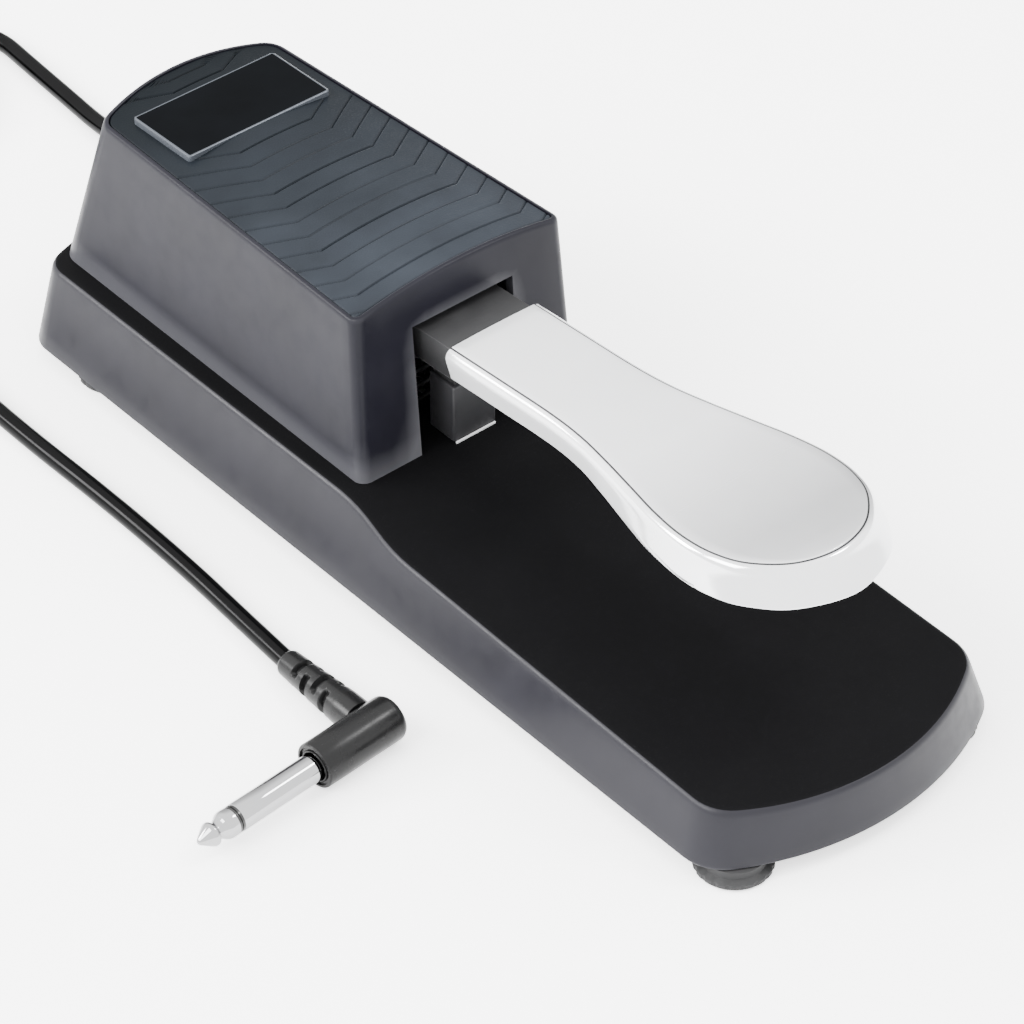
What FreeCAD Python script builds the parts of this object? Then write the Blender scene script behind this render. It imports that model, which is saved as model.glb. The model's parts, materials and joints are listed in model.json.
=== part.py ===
"""Sustain pedal: a sprung lever with a chrome foot spoon in a weighted, rubber-footed housing.

Frame, in millimetres: +X is to the right, the toe of the pedal is at -Y, the cord leaves at +Y,
+Z is up, and the origin is on the floor at the middle of the housing's footprint.
"""
import FreeCAD, Part
import math
import os
from types import SimpleNamespace

import Sketcher
from FreeCAD import Placement, Rotation, Vector

doc = FreeCAD.newDocument("SustainPedal")
sheet = doc.addObject("Spreadsheet::Sheet", "Sizes")

DRIVING = {
    # housing base
    "base_length": 250.0,
    "base_width": 82.0,
    "foot_height": 4.0,
    "ledge_height": 23.4,
    "toe_rear_height": 18.9,
    "toe_front_height": 16.2,
    "step_rear": 12.0,
    "step_front": -15.0,
    "front_bow": 13.0,
    "rear_bow": 6.8,
    "side_lean": 6.0,
    "front_lean": 4.0,
    "rear_lean": 0.6,
    "base_loft_height": 20.0,
    "front_corner": 11.0,
    "rear_corner": 8.0,
    "wall": 2.5,
    # tower
    "tower_front": 8.4,
    "tower_front_half": 30.8,
    "tower_rear_half": 30.0,
    "tower_rear": 117.7,
    "tower_bow": 5.3,
    "tower_loft_height": 48.6,
    "tower_front_lean": 3.75,
    "tower_rear_lean": 12.8,
    "tower_front_narrow": 2.1,
    "tower_rear_narrow": 6.1,
    "tower_front_corner": 2.8,
    "tower_rear_corner": 5.5,
    "crown_radius": 137.0,
    "crown_top": 68.0,
    "crown_fall": 1.3,
    "slot_half": 14.0,
    "slot_top": 57.0,
    "insert_border": 1.5,
    "insert_sunk": 0.4,
    "insert_thick": 1.6,
    "name_half": 19.8,
    "name_depth": 20.8,
    "name_middle": 90.9,
    "name_proud": 0.15,
    # lever
    "pivot_back": 80.0,
    "pivot_height": 42.7,
    "lever_rise": 3.72,
    "cap_plane": 8.5,
    "arm_half": 11.4,
    "arm_thick": 8.0,
    "tongue_half": 9.2,
    "cap_skirt": 8.0,
    "cap_wall": 1.8,
    "neck_back": 79.8,
    "pin_radius": 2.5,
    "bush_radius": 4.0,
    "running_gap": 0.05,
    "cheek_inner": 15.0,
    "cheek_thick": 2.0,
    # cord and plug
    "cord_radius": 2.25,
    "cord_exit_across": 19.0,
    "cord_exit_height": 11.0,
    "plug_axis_height": 5.3,
    "plug_turn": 4.0,
    "handle_radius": 5.25,
    "sleeve_radius": 3.175,
}


class Size:
    """A number together with the sheet expression that gives it."""

    def __init__(self, value, text=None):
        self.value = float(value)
        self.text = text or repr(float(value))

    def __add__(self, other):
        other = as_size(other)
        return Size(self.value + other.value, f"({self.text} + {other.text})")

    def __sub__(self, other):
        other = as_size(other)
        return Size(self.value - other.value, f"({self.text} - {other.text})")

    def __mul__(self, other):
        other = as_size(other)
        return Size(self.value * other.value, f"({self.text} * {other.text})")

    def __truediv__(self, other):
        other = as_size(other)
        return Size(self.value / other.value, f"({self.text} / {other.text})")

    def __neg__(self):
        return Size(-self.value, f"(-1 * {self.text})")

    def __radd__(self, other):
        return as_size(other) + self

    def __rsub__(self, other):
        return as_size(other) - self


def as_size(value):
    return value if isinstance(value, Size) else Size(value)


def fill_sheet():
    """One row a size: its name, then its number under an alias of the same name."""
    sizes = SimpleNamespace()
    for row, (name, number) in enumerate(DRIVING.items(), start=1):
        sheet.set(f"A{row}", name)
        sheet.set(f"B{row}", str(number))
        sheet.setAlias(f"B{row}", name)
        setattr(sizes, name, Size(number, f"Sizes.{name}"))
    doc.recompute()
    return sizes


S = fill_sheet()
HALF = S.base_width / 2
FRONT = -(S.base_length / 2)
REAR = S.base_length / 2
PLATE_LOW = S.foot_height + 0.8
PLATE_TOP = PLATE_LOW + 1.6


# ---------------------------------------------------------------- drawing helpers

def bind(item, prop, size):
    size = as_size(size)
    item.setExpression(prop, size.text)


def place(item, across, back, up, turn=None):
    """Put an object at a place given by sizes, with an optional fixed rotation."""
    if turn is not None:
        item.Placement = Placement(Vector(0, 0, 0), turn)
    for axis, size in zip("xyz", (across, back, up)):
        bind(item, f"Placement.Base.{axis}", size)
    return item


def box(name, low, dims):
    item = doc.addObject("Part::Box", name)
    for prop, size in zip(("Length", "Width", "Height"), dims):
        bind(item, prop, size)
    return place(item, *low)


ALONG = {
    "z": Rotation(),
    "x": Rotation(Vector(0, 1, 0), 90),
    "y": Rotation(Vector(1, 0, 0), -90),
}


def rod(name, radius, length, at, axis="z"):
    item = doc.addObject("Part::Cylinder", name)
    bind(item, "Radius", radius)
    bind(item, "Height", length)
    return place(item, *at, ALONG[axis])


def combine(kind, name, parts):
    """A boolean of two or more objects; kind is Cut, MultiFuse or MultiCommon."""
    item = doc.addObject("Part::" + kind, name)
    if kind == "Cut":
        item.Base = parts[0]
        item.Tool = parts[1] if len(parts) == 2 else combine("Compound", name + "_tools", parts[1:])
    elif kind == "Compound":
        item.Links = parts
    else:
        item.Shapes = parts
    return item


def new_body(name):
    return doc.addObject("PartDesign::Body", name)


def sketch_on(body, name, role, offset=0):
    """A sketch on one of the body's own origin planes, moved along its normal."""
    plane = next(f for f in body.Origin.OriginFeatures if f.Role == role)
    sketch = body.newObject("Sketcher::SketchObject", name)
    sketch.AttachmentSupport = [(plane, "")]
    sketch.MapMode = "FlatFace"
    offset = as_size(offset)
    sketch.AttachmentOffset = Placement(Vector(0, 0, offset.value), Rotation())
    bind(sketch, "AttachmentOffset.Base.z", offset)
    return sketch


def arc_between(start, end, radius):
    """The short arc from start to end; a positive radius bulges to the right of the way."""
    chord = end - start
    half = chord.Length / 2
    sagitta = abs(radius) - math.sqrt(radius * radius - half * half)
    right = Vector(chord.y, -chord.x, 0).normalize()
    middle = (start + end) / 2 + right * math.copysign(sagitta, radius)
    return Part.Arc(start, middle, end)


def fix(sketch, kind, where, size):
    """A distance constraint from the sketch's origin, bound to its size."""
    size = as_size(size)
    if abs(size.value) < 1e-9:
        axis = -2 if kind == "DistanceX" else -1
        sketch.addConstraint(Sketcher.Constraint("PointOnObject", *where, axis))
        return
    number = sketch.addConstraint(Sketcher.Constraint(kind, -1, 1, *where, size.value))
    sketch.setExpression(f"Constraints[{number}]", size.text)


def loop(sketch, corners):
    """A closed loop of lines and arcs.

    A corner is (x, y), or (x, y, radius) when an arc of that radius leads to the next corner.
    """
    points = [Vector(as_size(c[0]).value, as_size(c[1]).value, 0) for c in corners]
    starts, ends = [], []
    for i, corner in enumerate(corners):
        start, end = points[i], points[(i + 1) % len(corners)]
        if len(corner) == 3:
            edge = sketch.addGeometry(arc_between(start, end, as_size(corner[2]).value), False)
        else:
            edge = sketch.addGeometry(Part.LineSegment(start, end), False)
        forward = sketch.getPoint(edge, 1).distanceToPoint(start) < 1e-4
        starts.append((edge, 1 if forward else 2))
        ends.append((edge, 2 if forward else 1))
    for i, corner in enumerate(corners):
        sketch.addConstraint(Sketcher.Constraint("Coincident", *ends[i - 1], *starts[i]))
        fix(sketch, "DistanceX", starts[i], corner[0])
        fix(sketch, "DistanceY", starts[i], corner[1])
        if len(corner) == 3:
            radius = as_size(corner[2])
            radius = radius if radius.value > 0 else -radius
            edge = starts[i][0]
            number = sketch.addConstraint(Sketcher.Constraint("Radius", edge, radius.value))
            sketch.setExpression(f"Constraints[{number}]", radius.text)


def beside(curve, corner):
    """A point on the curve, a tenth of the way along from the end at the corner."""
    a, b = curve.FirstParameter, curve.LastParameter
    if (curve.value(a) - corner).Length > (curve.value(b) - corner).Length:
        a, b = b, a
    return curve.value(a + (b - a) * 0.1)


def soften(sketch, first, second, radius):
    """Round the corner between two of the sketch's edges."""
    ends = [sketch.getPoint(first, p) for p in (1, 2)]
    others = [sketch.getPoint(second, p) for p in (1, 2)]
    corner = min(ends, key=lambda end: min((end - other).Length for other in others))
    picks = [beside(sketch.Geometry[edge], corner) for edge in (first, second)]
    sketch.fillet(first, second, *picks, radius, True, True)


def circle(sketch, x, y, radius):
    centre = Vector(as_size(x).value, as_size(y).value, 0)
    edge = sketch.addGeometry(Part.Circle(centre, Vector(0, 0, 1), as_size(radius).value), False)
    fix(sketch, "DistanceX", (edge, 3), x)
    fix(sketch, "DistanceY", (edge, 3), y)
    number = sketch.addConstraint(Sketcher.Constraint("Radius", edge, as_size(radius).value))
    sketch.setExpression(f"Constraints[{number}]", as_size(radius).text)


def pad(body, name, sketch, length, symmetric=False, reversed_=False):
    item = body.newObject("PartDesign::Pad", name)
    item.Profile = sketch
    item.SideType = "Symmetric" if symmetric else "One side"
    item.Reversed = reversed_
    bind(item, "Length", length)
    doc.recompute()
    return item


def pocket(body, name, sketch, length, symmetric=False, reversed_=False):
    """A cut that has to take something away."""
    before = body.Shape.Volume
    item = body.newObject("PartDesign::Pocket", name)
    item.Profile = sketch
    item.SideType = "Symmetric" if symmetric else "One side"
    item.Reversed = reversed_
    bind(item, "Length", length)
    doc.recompute()
    if body.Shape.Volume > before - 1e-3:
        raise RuntimeError(f"{name} cuts nothing")
    return item


def spin(body, name, sketch, role="Z_Axis"):
    """Turn a sketch's profile all the way round one of the body's origin axes."""
    item = body.newObject("PartDesign::Revolution", name)
    item.Profile = sketch
    axis = next(f for f in body.Origin.OriginFeatures if f.Role == role)
    item.ReferenceAxis = (axis, [""])
    item.Angle = 360
    doc.recompute()
    return item


def round_edges(body, name, radius, wanted):
    """Fillet the edges of the body that a test picks."""
    base = body.Tip
    edges = [f"Edge{i}" for i, e in enumerate(base.Shape.Edges, start=1) if wanted(e)]
    item = body.newObject("PartDesign::Fillet", name)
    item.Base = (base, edges)
    bind(item, "Radius", radius)
    doc.recompute()
    return item


def bow_radius(half, bow):
    """The radius of an arc over twice this half width that bows out this far."""
    return (half * half + bow * bow) / (bow * 2)


def footprint(sketch, half, front, rear, inset):
    """Straight sides, a bowed front and a bowed rear; front and rear are the furthest points."""
    low, high = front + S.front_bow, rear - S.rear_bow
    loop(sketch, [
        (-half, low, bow_radius(half, S.front_bow)),
        (half, low),
        (half, high, bow_radius(half, S.rear_bow)),
        (-half, high),
    ])
    for first, second in ((0, 1), (3, 0)):
        soften(sketch, first, second, (S.front_corner - inset).value)
    for first, second in ((1, 2), (2, 3)):
        soften(sketch, first, second, (S.rear_corner - inset).value)


# ---------------------------------------------------------------- housing

def base_block(name, inset):
    """The base's outer shape, or the same shape inset by a wall, below the stepped deck."""
    body = new_body(name)
    low = sketch_on(body, name + "_low", "XY_Plane", S.foot_height)
    footprint(low, HALF - inset, FRONT + inset, REAR - inset, inset)
    high = sketch_on(body, name + "_high", "XY_Plane", S.foot_height + S.base_loft_height)
    footprint(high, HALF - S.side_lean - inset, FRONT + S.front_lean + inset,
              REAR - S.rear_lean - inset, inset)
    loft = body.newObject("PartDesign::AdditiveLoft", name + "_loft")
    loft.Profile = low
    loft.Sections = [high]
    loft.Ruled = True
    doc.recompute()
    deck = sketch_on(body, name + "_deck", "YZ_Plane")
    run = S.step_rear - S.step_front
    drop = S.ledge_height - S.toe_rear_height
    bend = (run * run + drop * drop) / (drop * 4)
    middle = (S.step_rear + S.step_front) / 2
    loop(deck, [
        (REAR + 10, S.ledge_height - inset),
        (REAR + 10, S.ledge_height + 20),
        (FRONT - 10, S.ledge_height + 20),
        (FRONT - 10, S.toe_front_height - inset),
        (S.step_front, S.toe_rear_height - inset, bend),
        (middle, S.ledge_height - drop / 2 - inset, -bend),
        (S.step_rear, S.ledge_height - inset),
    ])
    pocket(body, name + "_above", deck, S.base_width * 2, symmetric=True)
    return body


PORT_ANGLE = 8.8
PORT_TURN = Rotation(Vector(0, 0, 1), -PORT_ANGLE).multiply(Rotation(Vector(1, 0, 0), -90))


def from_port(across, along):
    """A place given beside and along the cord port's axis, which stands square to the bowed wall."""
    spot = Vector(DRIVING["cord_exit_across"], 123.3, 0)
    spot += Rotation(Vector(0, 0, 1), -PORT_ANGLE).multVec(Vector(across, along, 0))
    return spot.x, spot.y


TOWER_SCREWS = [(22.5, 21.5), (-22.5, 21.5), (21.0, 103.0), (-21.0, 103.0)]
FOOT_PLACES = {"front": [(29.4, -108.2), (-31.2, -110.8)], "rear": [(30.8, 99.3), (-30.8, 99.3)]}
PLATE_SCREWS = [(30.0, -40.0), (-30.0, -40.0), (31.0, 35.0), (-31.0, 35.0)]
POST_RADIUS = 3.0
THREAD_RADIUS = 1.5


def deck_height(back):
    """The height of the base's top face, clear of the step."""
    if back > DRIVING["step_rear"]:
        return S.ledge_height
    share = (back - (FRONT - 10)) / (S.step_front - (FRONT - 10))
    return S.toe_front_height + (S.toe_rear_height - S.toe_front_height) * share


def at_port(item, along):
    """Lay an object that stands along Z on the cord port's axis, this far outside the wall."""
    x, y = from_port(0, along)
    item.Placement = Placement(Vector(x, y, DRIVING["cord_exit_height"]), PORT_TURN)
    for axis in "xyz":
        item.setExpression(f"Placement.Base.{axis}", None)
    bind(item, "Placement.Base.z", S.cord_exit_height)
    return item


def make_base_shell():
    outer = base_block("base_outer", Size(0))
    core = base_block("base_core", S.wall)
    hollow = combine("Cut", "base_hollow", [outer, core])
    posts = []
    for x, y in PLATE_SCREWS + FOOT_PLACES["front"] + FOOT_PLACES["rear"]:
        height = deck_height(y) - PLATE_TOP - 1.0
        posts.append(rod("base_post", POST_RADIUS, height, (x, y, PLATE_TOP)))
    shell = combine("MultiFuse", "base_with_posts", [hollow] + posts)
    tools = [
        box("deck_window", (-19, 22.5, S.ledge_height - 5), (38, 76, 10)),
        at_port(rod("gland_hole", 3.6, 14, (0, 0, 0)), -9),
    ]
    for x, y in PLATE_SCREWS + FOOT_PLACES["front"] + FOOT_PLACES["rear"]:
        tools.append(rod("post_hole", THREAD_RADIUS, 8, (x, y, PLATE_TOP - 0.5)))
    for x, y in TOWER_SCREWS:
        tools.append(rod("tower_screw_hole", 1.7, 10, (x, y, S.ledge_height - 5)))
    return combine("Cut", "base_shell", [shell] + tools)


def tower_block(name, inset, bottom):
    """The tower's leaning outer shape, or the same shape inset by a wall."""
    body = new_body(name)
    levels = []
    for tag, up in (("low", bottom), ("high", S.ledge_height + S.tower_loft_height)):
        share = (up - S.ledge_height) / S.tower_loft_height
        front_half = S.tower_front_half - S.tower_front_narrow * share - inset
        rear_half = S.tower_rear_half - S.tower_rear_narrow * share - inset
        front = S.tower_front + S.tower_front_lean * share + inset
        rear = S.tower_rear - S.tower_rear_lean * share - inset
        level = sketch_on(body, f"{name}_{tag}", "XY_Plane", up)
        loop(level, [
            (-front_half, front),
            (front_half, front),
            (rear_half, rear, bow_radius(rear_half, S.tower_bow)),
            (-rear_half, rear),
        ])
        front_round = max((S.tower_front_corner - inset).value, 0.6)
        rear_round = (S.tower_rear_corner - inset).value
        for first, second in ((0, 1), (3, 0)):
            soften(level, first, second, front_round)
        for first, second in ((1, 2), (2, 3)):
            soften(level, first, second, rear_round)
        levels.append(level)
    loft = body.newObject("PartDesign::AdditiveLoft", name + "_loft")
    loft.Profile = levels[0]
    loft.Sections = [levels[1]]
    loft.Ruled = True
    doc.recompute()
    return body


CROWN_TURN = Rotation(Vector(1, 0, 0), -90 - DRIVING["crown_fall"])


def crown(name, below):
    """A long round bar whose top is the tower's crowned top, lowered by a distance."""
    item = doc.addObject("Part::Cylinder", name)
    bind(item, "Radius", S.crown_radius - below)
    item.Height = 260
    return place(item, 0, S.tower_front - 60, S.crown_top - S.crown_radius + 1.36, CROWN_TURN)


def name_block(name, grow, low, high):
    """The name panel's outline as a block that leans with the crown."""
    item = doc.addObject("Part::Box", name)
    bind(item, "Length", (S.name_half + grow) * 2)
    bind(item, "Width", S.name_depth + grow * 2)
    bind(item, "Height", high - low)
    lean = Rotation(Vector(1, 0, 0), -DRIVING["crown_fall"])
    fall = (S.name_middle - S.tower_front) * math.tan(math.radians(DRIVING["crown_fall"]))
    place(item, -(S.name_half + grow), S.name_middle - S.name_depth / 2 - grow,
          S.crown_top - fall + 0.24 + low, lean)
    return item


def make_tower():
    outer = combine("MultiCommon", "tower_outer", [
        tower_block("tower_outer_block", Size(0), S.ledge_height), crown("crown_outer", Size(0))])
    core = combine("MultiCommon", "tower_core", [
        tower_block("tower_core_block", S.wall, S.ledge_height - 1),
        crown("crown_core", S.insert_sunk + S.insert_thick + 2.0)])
    hollow = combine("Cut", "tower_hollow", [outer, core])
    posts = [rod("tower_post", 3.4, 39.5, (x, y, S.ledge_height)) for x, y in TOWER_SCREWS]
    shell = combine("MultiFuse", "tower_with_posts", [hollow] + posts)
    recess_block = tower_block("recess_block", S.insert_border, S.ledge_height + 10)
    recess = combine("Cut", "insert_recess",
                     [recess_block, crown("crown_recess", S.insert_sunk + S.insert_thick)])
    tools = [
        recess,
        box("front_slot", (-S.slot_half, 0, S.ledge_height - 1),
            (S.slot_half * 2, 22, S.slot_top - S.ledge_height + 1)),
    ]
    for x, y in TOWER_SCREWS:
        tools.append(rod("tower_thread", 1.25, 16, (x, y, S.ledge_height - 1)))
    housing = combine("Cut", "tower_housing", [shell] + tools)

    slab = combine("MultiCommon", "insert_slab", [
        tower_block("insert_block", S.insert_border + 0.2, S.ledge_height + 10),
        crown("crown_insert_top", S.insert_sunk)])
    under_insert = crown("crown_insert_low", S.insert_sunk + S.insert_thick)
    under_name = crown("crown_name_low", S.insert_sunk + 1.06)
    name_hole = combine("Cut", "name_hole", [
        name_block("name_hole_block", Size(0.15), Size(-4), Size(3)), under_name])
    insert = combine("Cut", "top_insert", [slab, under_insert, name_hole])
    plate = combine("Cut", "nameplate", [
        name_block("name_block", Size(0), Size(-3), S.name_proud),
        crown("crown_name_seat", S.insert_sunk + 1.0)])
    return [housing, insert, plate]


def make_bottom_plate():
    body = new_body("bottom_plate")
    inset = S.wall + 1.0
    outline = sketch_on(body, "plate_outline", "XY_Plane", PLATE_LOW)
    footprint(outline, HALF - inset, FRONT + inset, REAR - inset, inset)
    pad(body, "plate_sheet", outline, PLATE_TOP - PLATE_LOW)
    holes = sketch_on(body, "plate_holes", "XY_Plane", PLATE_LOW)
    for x, y in PLATE_SCREWS + FOOT_PLACES["front"] + FOOT_PLACES["rear"] + BRACKET_SCREWS:
        circle(holes, x, y, 1.6)
    for x, y in POLARITY_SCREWS + CLAMP_SCREWS:
        circle(holes, x, y, 1.1)
    loop(holes, [(-4.5, -32.4), (4.5, -32.4), (4.5, -27.6), (-4.5, -27.6)])
    pocket(body, "plate_drilled", holes, 10, symmetric=True)
    return body


BRACKET_SCREWS = [(12.0, 36.0), (-12.0, 36.0), (12.0, 91.0), (-12.0, 91.0)]
POLARITY_SCREWS = [(-9.5, -30.0), (9.5, -30.0)]
CLAMP_SCREWS = [from_port(-6.4, -19.3), from_port(6.4, -19.3)]


def screw(name, at, head, shank, up=True, axis="z"):
    """A cross-headed screw; its head is under the joint and its shank runs up, or the reverse.

    head and shank are (radius, length); at is the middle of the face under the head.
    """
    body = new_body(name)
    half = sketch_on(body, name + "_half", "XZ_Plane")
    head_radius, head_length = head
    radius, length = shank
    loop(half, [(0, -head_length), (head_radius * 0.75, -head_length), (head_radius, -head_length * 0.45),
                (head_radius, 0), (radius, 0), (radius, length - 0.6), (radius - 0.6, length),
                (0, length)])
    spin(body, name + "_turned", half)
    cross = sketch_on(body, name + "_cross", "XY_Plane", -head_length)
    wide, thin = head_radius * 0.6, head_radius * 0.15
    loop(cross, [(-thin, -wide), (thin, -wide), (thin, -thin), (wide, -thin), (wide, thin),
                 (thin, thin), (thin, wide), (-thin, wide), (-thin, thin), (-wide, thin),
                 (-wide, -thin), (-thin, -thin)])
    pocket(body, name + "_drive", cross, head_length * 0.5, reversed_=True)
    turn = ALONG[axis]
    if not up:
        turn = turn.multiply(Rotation(Vector(1, 0, 0), 180))
    return place(body, *at, turn)


def screws(label, places, head, shank, height, up=True):
    """Identical upright screws, as separate solids of one node."""
    parts = [screw(f"{label}_{i}", (x, y, height), head, shank, up)
             for i, (x, y) in enumerate(places, start=1)]
    return combine("Compound", label, parts)


def make_feet(label, places):
    """Round rubber feet with a sunk screw seat and a scalloped rim."""
    feet = []
    for i, (x, y) in enumerate(places, start=1):
        body = new_body(f"{label}_{i}")
        half = sketch_on(body, f"{label}_{i}_half", "XZ_Plane")
        loop(half, [(1.8, 2.6), (3.4, 2.6), (3.4, 0), (7.9, 0), (8.5, 0.6), (8.5, 1.6), (7.0, 2.1),
                    (7.0, 3.9), (2.8, 3.9), (2.8, 4.8), (1.8, 4.8)])
        spin(body, f"{label}_{i}_turned", half)
        bite = sketch_on(body, f"{label}_{i}_bite", "XY_Plane")
        circle(bite, 9.1, 0, 0.9)
        cut = pocket(body, f"{label}_{i}_flute", bite, 1.8, reversed_=True)
        ring = body.newObject("PartDesign::PolarPattern", f"{label}_{i}_flutes")
        ring.Originals = [cut]
        ring.Axis = (next(f for f in body.Origin.OriginFeatures if f.Role == "Z_Axis"), [""])
        ring.Angle = 360
        ring.Occurrences = 18
        body.Tip = ring
        feet.append(place(body, x, y, 0))
    return combine("Compound", label, feet)


def make_stop_block():
    body = new_body("stop_block")
    outline = sketch_on(body, "stop_outline", "XY_Plane", S.ledge_height)
    loop(outline, [(-6, S.tower_front - 1.3), (6, S.tower_front - 1.3),
                   (6, S.tower_front + 7.2), (-6, S.tower_front + 7.2)])
    pad(body, "stop_upright", outline, 15.0)
    upright = lambda e: abs(e.Vertexes[0].Z - e.Vertexes[-1].Z) > 1
    round_edges(body, "stop_corners", 0.6, upright)
    rubber = box("down_stop_pad", (-5, S.tower_front - 0.5, S.ledge_height + 15), (10, 7.2, 1.9))
    return [body, rubber]


# ---------------------------------------------------------------- lever, pivot and spring

LEVER_TURN = Rotation(Vector(1, 0, 0), -DRIVING["lever_rise"])
ARM_TOP = S.cap_plane - 1.0
ARM_LOW = ARM_TOP - S.arm_thick
TONGUE_LOW = ARM_LOW + 1.3
TONGUE_TOP = S.cap_plane - S.cap_wall
CAP_SCREWS = (-95.0, -150.0)
BOSS_RADIUS = 3.0


def on_lever(item):
    """Lever parts are drawn about the pivot, with the foot spoon's flat top level."""
    return place(item, 0, S.pivot_back, S.pivot_height, LEVER_TURN)


def make_pedal_arm():
    body = new_body("pedal_arm")
    side = sketch_on(body, "arm_side", "YZ_Plane")
    loop(side, [
        (-S.neck_back, ARM_LOW), (-12.0, ARM_LOW), (-6.0, -6.0), (3.0, -6.0), (5.0, -3.6),
        (17.0, -3.6), (17.0, 2.0), (10.0, ARM_TOP), (-S.neck_back, ARM_TOP),
    ])
    pad(body, "arm_beam", side, S.arm_half * 2, symmetric=True)
    tongue = sketch_on(body, "arm_tongue", "YZ_Plane")
    loop(tongue, [(-(S.neck_back + 90.0), TONGUE_LOW), (-S.neck_back + 0.5, TONGUE_LOW),
                  (-S.neck_back + 0.5, TONGUE_TOP), (-(S.neck_back + 90.0), TONGUE_TOP)])
    pad(body, "arm_in_cap", tongue, S.tongue_half * 2, symmetric=True)
    bore = sketch_on(body, "arm_bore", "YZ_Plane")
    circle(bore, 0, 0, S.bush_radius)
    pocket(body, "arm_bored", bore, 60, symmetric=True)
    holes = sketch_on(body, "arm_cap_holes", "XY_Plane")
    for y in CAP_SCREWS:
        circle(holes, 0, y, BOSS_RADIUS + 0.2)
    pocket(body, "arm_drilled", holes, 40, symmetric=True)
    peg = sketch_on(body, "arm_peg", "XY_Plane", ARM_LOW - 4.0)
    circle(peg, 0, -50.1, 3.6)
    pad(body, "arm_spring_peg", peg, 4.2)
    return on_lever(body)


CREASE = [(11.7, 0), (11.7, 16), (11.8, 32), (12.6, 42.6), (14.4, 52.6), (16.6, 62.6), (18.8, 72.6),
          (19.9, 81.8), (19.2, 90.2), (16.2, 97.4), (9.3, 103.8), (0, 106.2)]
HEM = [(12.2, 0), (12.2, 16), (12.3, 32), (13.4, 42.6), (15.9, 52.6), (18.8, 62.6), (21.5, 72.6),
       (23.1, 83.5), (22.6, 92.0), (19.9, 99.6), (12.8, 107.6), (0, 112.0)]


def outset(points, distance):
    """The half outline moved outwards, square to itself; it stays on the middle line at the toe."""
    mirrored = [(points[0][0], points[0][1] - 10)] + points + [(-points[-2][0], points[-2][1])]
    moved = []
    for before, here, after in zip(mirrored, mirrored[1:], mirrored[2:]):
        run = Vector(after[0] - before[0], after[1] - before[1], 0).normalize()
        moved.append((here[0] + run.y * distance, here[1] - run.x * distance))
    moved[0] = (moved[0][0], points[0][1])
    moved[-1] = (0.0, points[-1][1] + distance)
    return moved


def spoon_sketch(body, name, up, half):
    """The spoon's closed outline: one curve round the toe, and a straight rear edge."""
    left = [Vector(x, -S.neck_back.value - y, 0) for x, y in half]
    around = left + [Vector(-p.x, p.y, 0) for p in reversed(left[:-1])]
    half_steps = [math.dist(a, b) for a, b in zip(CREASE, CREASE[1:])]
    knots = [0.0]
    for step in half_steps + half_steps[::-1]:
        knots.append(knots[-1] + step)
    curve = Part.BSplineCurve()
    curve.interpolate(Points=around, Parameters=knots)
    sketch = sketch_on(body, name, "XY_Plane", up)
    sketch.addGeometry(curve, False)
    sketch.addGeometry(Part.LineSegment(around[-1], around[0]), False)
    sketch.addConstraint(Sketcher.Constraint("Coincident", 0, 2, 1, 1))
    sketch.addConstraint(Sketcher.Constraint("Coincident", 1, 2, 0, 1))
    return sketch


def spoon_loft(name, levels):
    body = new_body(name)
    sketches = [spoon_sketch(body, f"{name}_{i}", *level) for i, level in enumerate(levels)]
    loft = body.newObject("PartDesign::AdditiveLoft", name + "_loft")
    loft.Profile = sketches[0]
    loft.Sections = sketches[1:]
    loft.Ruled = True
    doc.recompute()
    return body


def make_pedal_cap():
    top = S.cap_plane
    shoulder = outset(CREASE, 1.7)
    outer = spoon_loft("cap_outer", [
        (top - S.cap_skirt, HEM), (top - 2.0, shoulder), (top, CREASE)])
    thick = -S.cap_wall.value
    inner = spoon_loft("cap_inner", [
        (top - S.cap_skirt, outset(HEM, thick)), (top - 2.4, outset(shoulder, thick)),
        (top - S.cap_wall, outset(CREASE, thick))])
    shell = combine("Cut", "cap_shell", [outer, inner])
    bosses = [rod("cap_boss", BOSS_RADIUS, TONGUE_TOP - TONGUE_LOW + 0.2, (0, y, TONGUE_LOW))
              for y in CAP_SCREWS]
    joined = combine("MultiFuse", "cap_joined", [shell] + bosses)
    holes = [rod("cap_thread", THREAD_RADIUS, 4.6, (0, y, TONGUE_LOW - 0.5)) for y in CAP_SCREWS]
    return on_lever(combine("Cut", "pedal_cap", [joined] + holes))


def make_cap_screws():
    parts = [screw(f"cap_screw_{i}", (0, y, TONGUE_LOW), (4.4, 2.2), (THREAD_RADIUS, 4.0))
             for i, y in enumerate(CAP_SCREWS, start=1)]
    return on_lever(combine("Compound", "cap_screws", parts))


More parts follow.
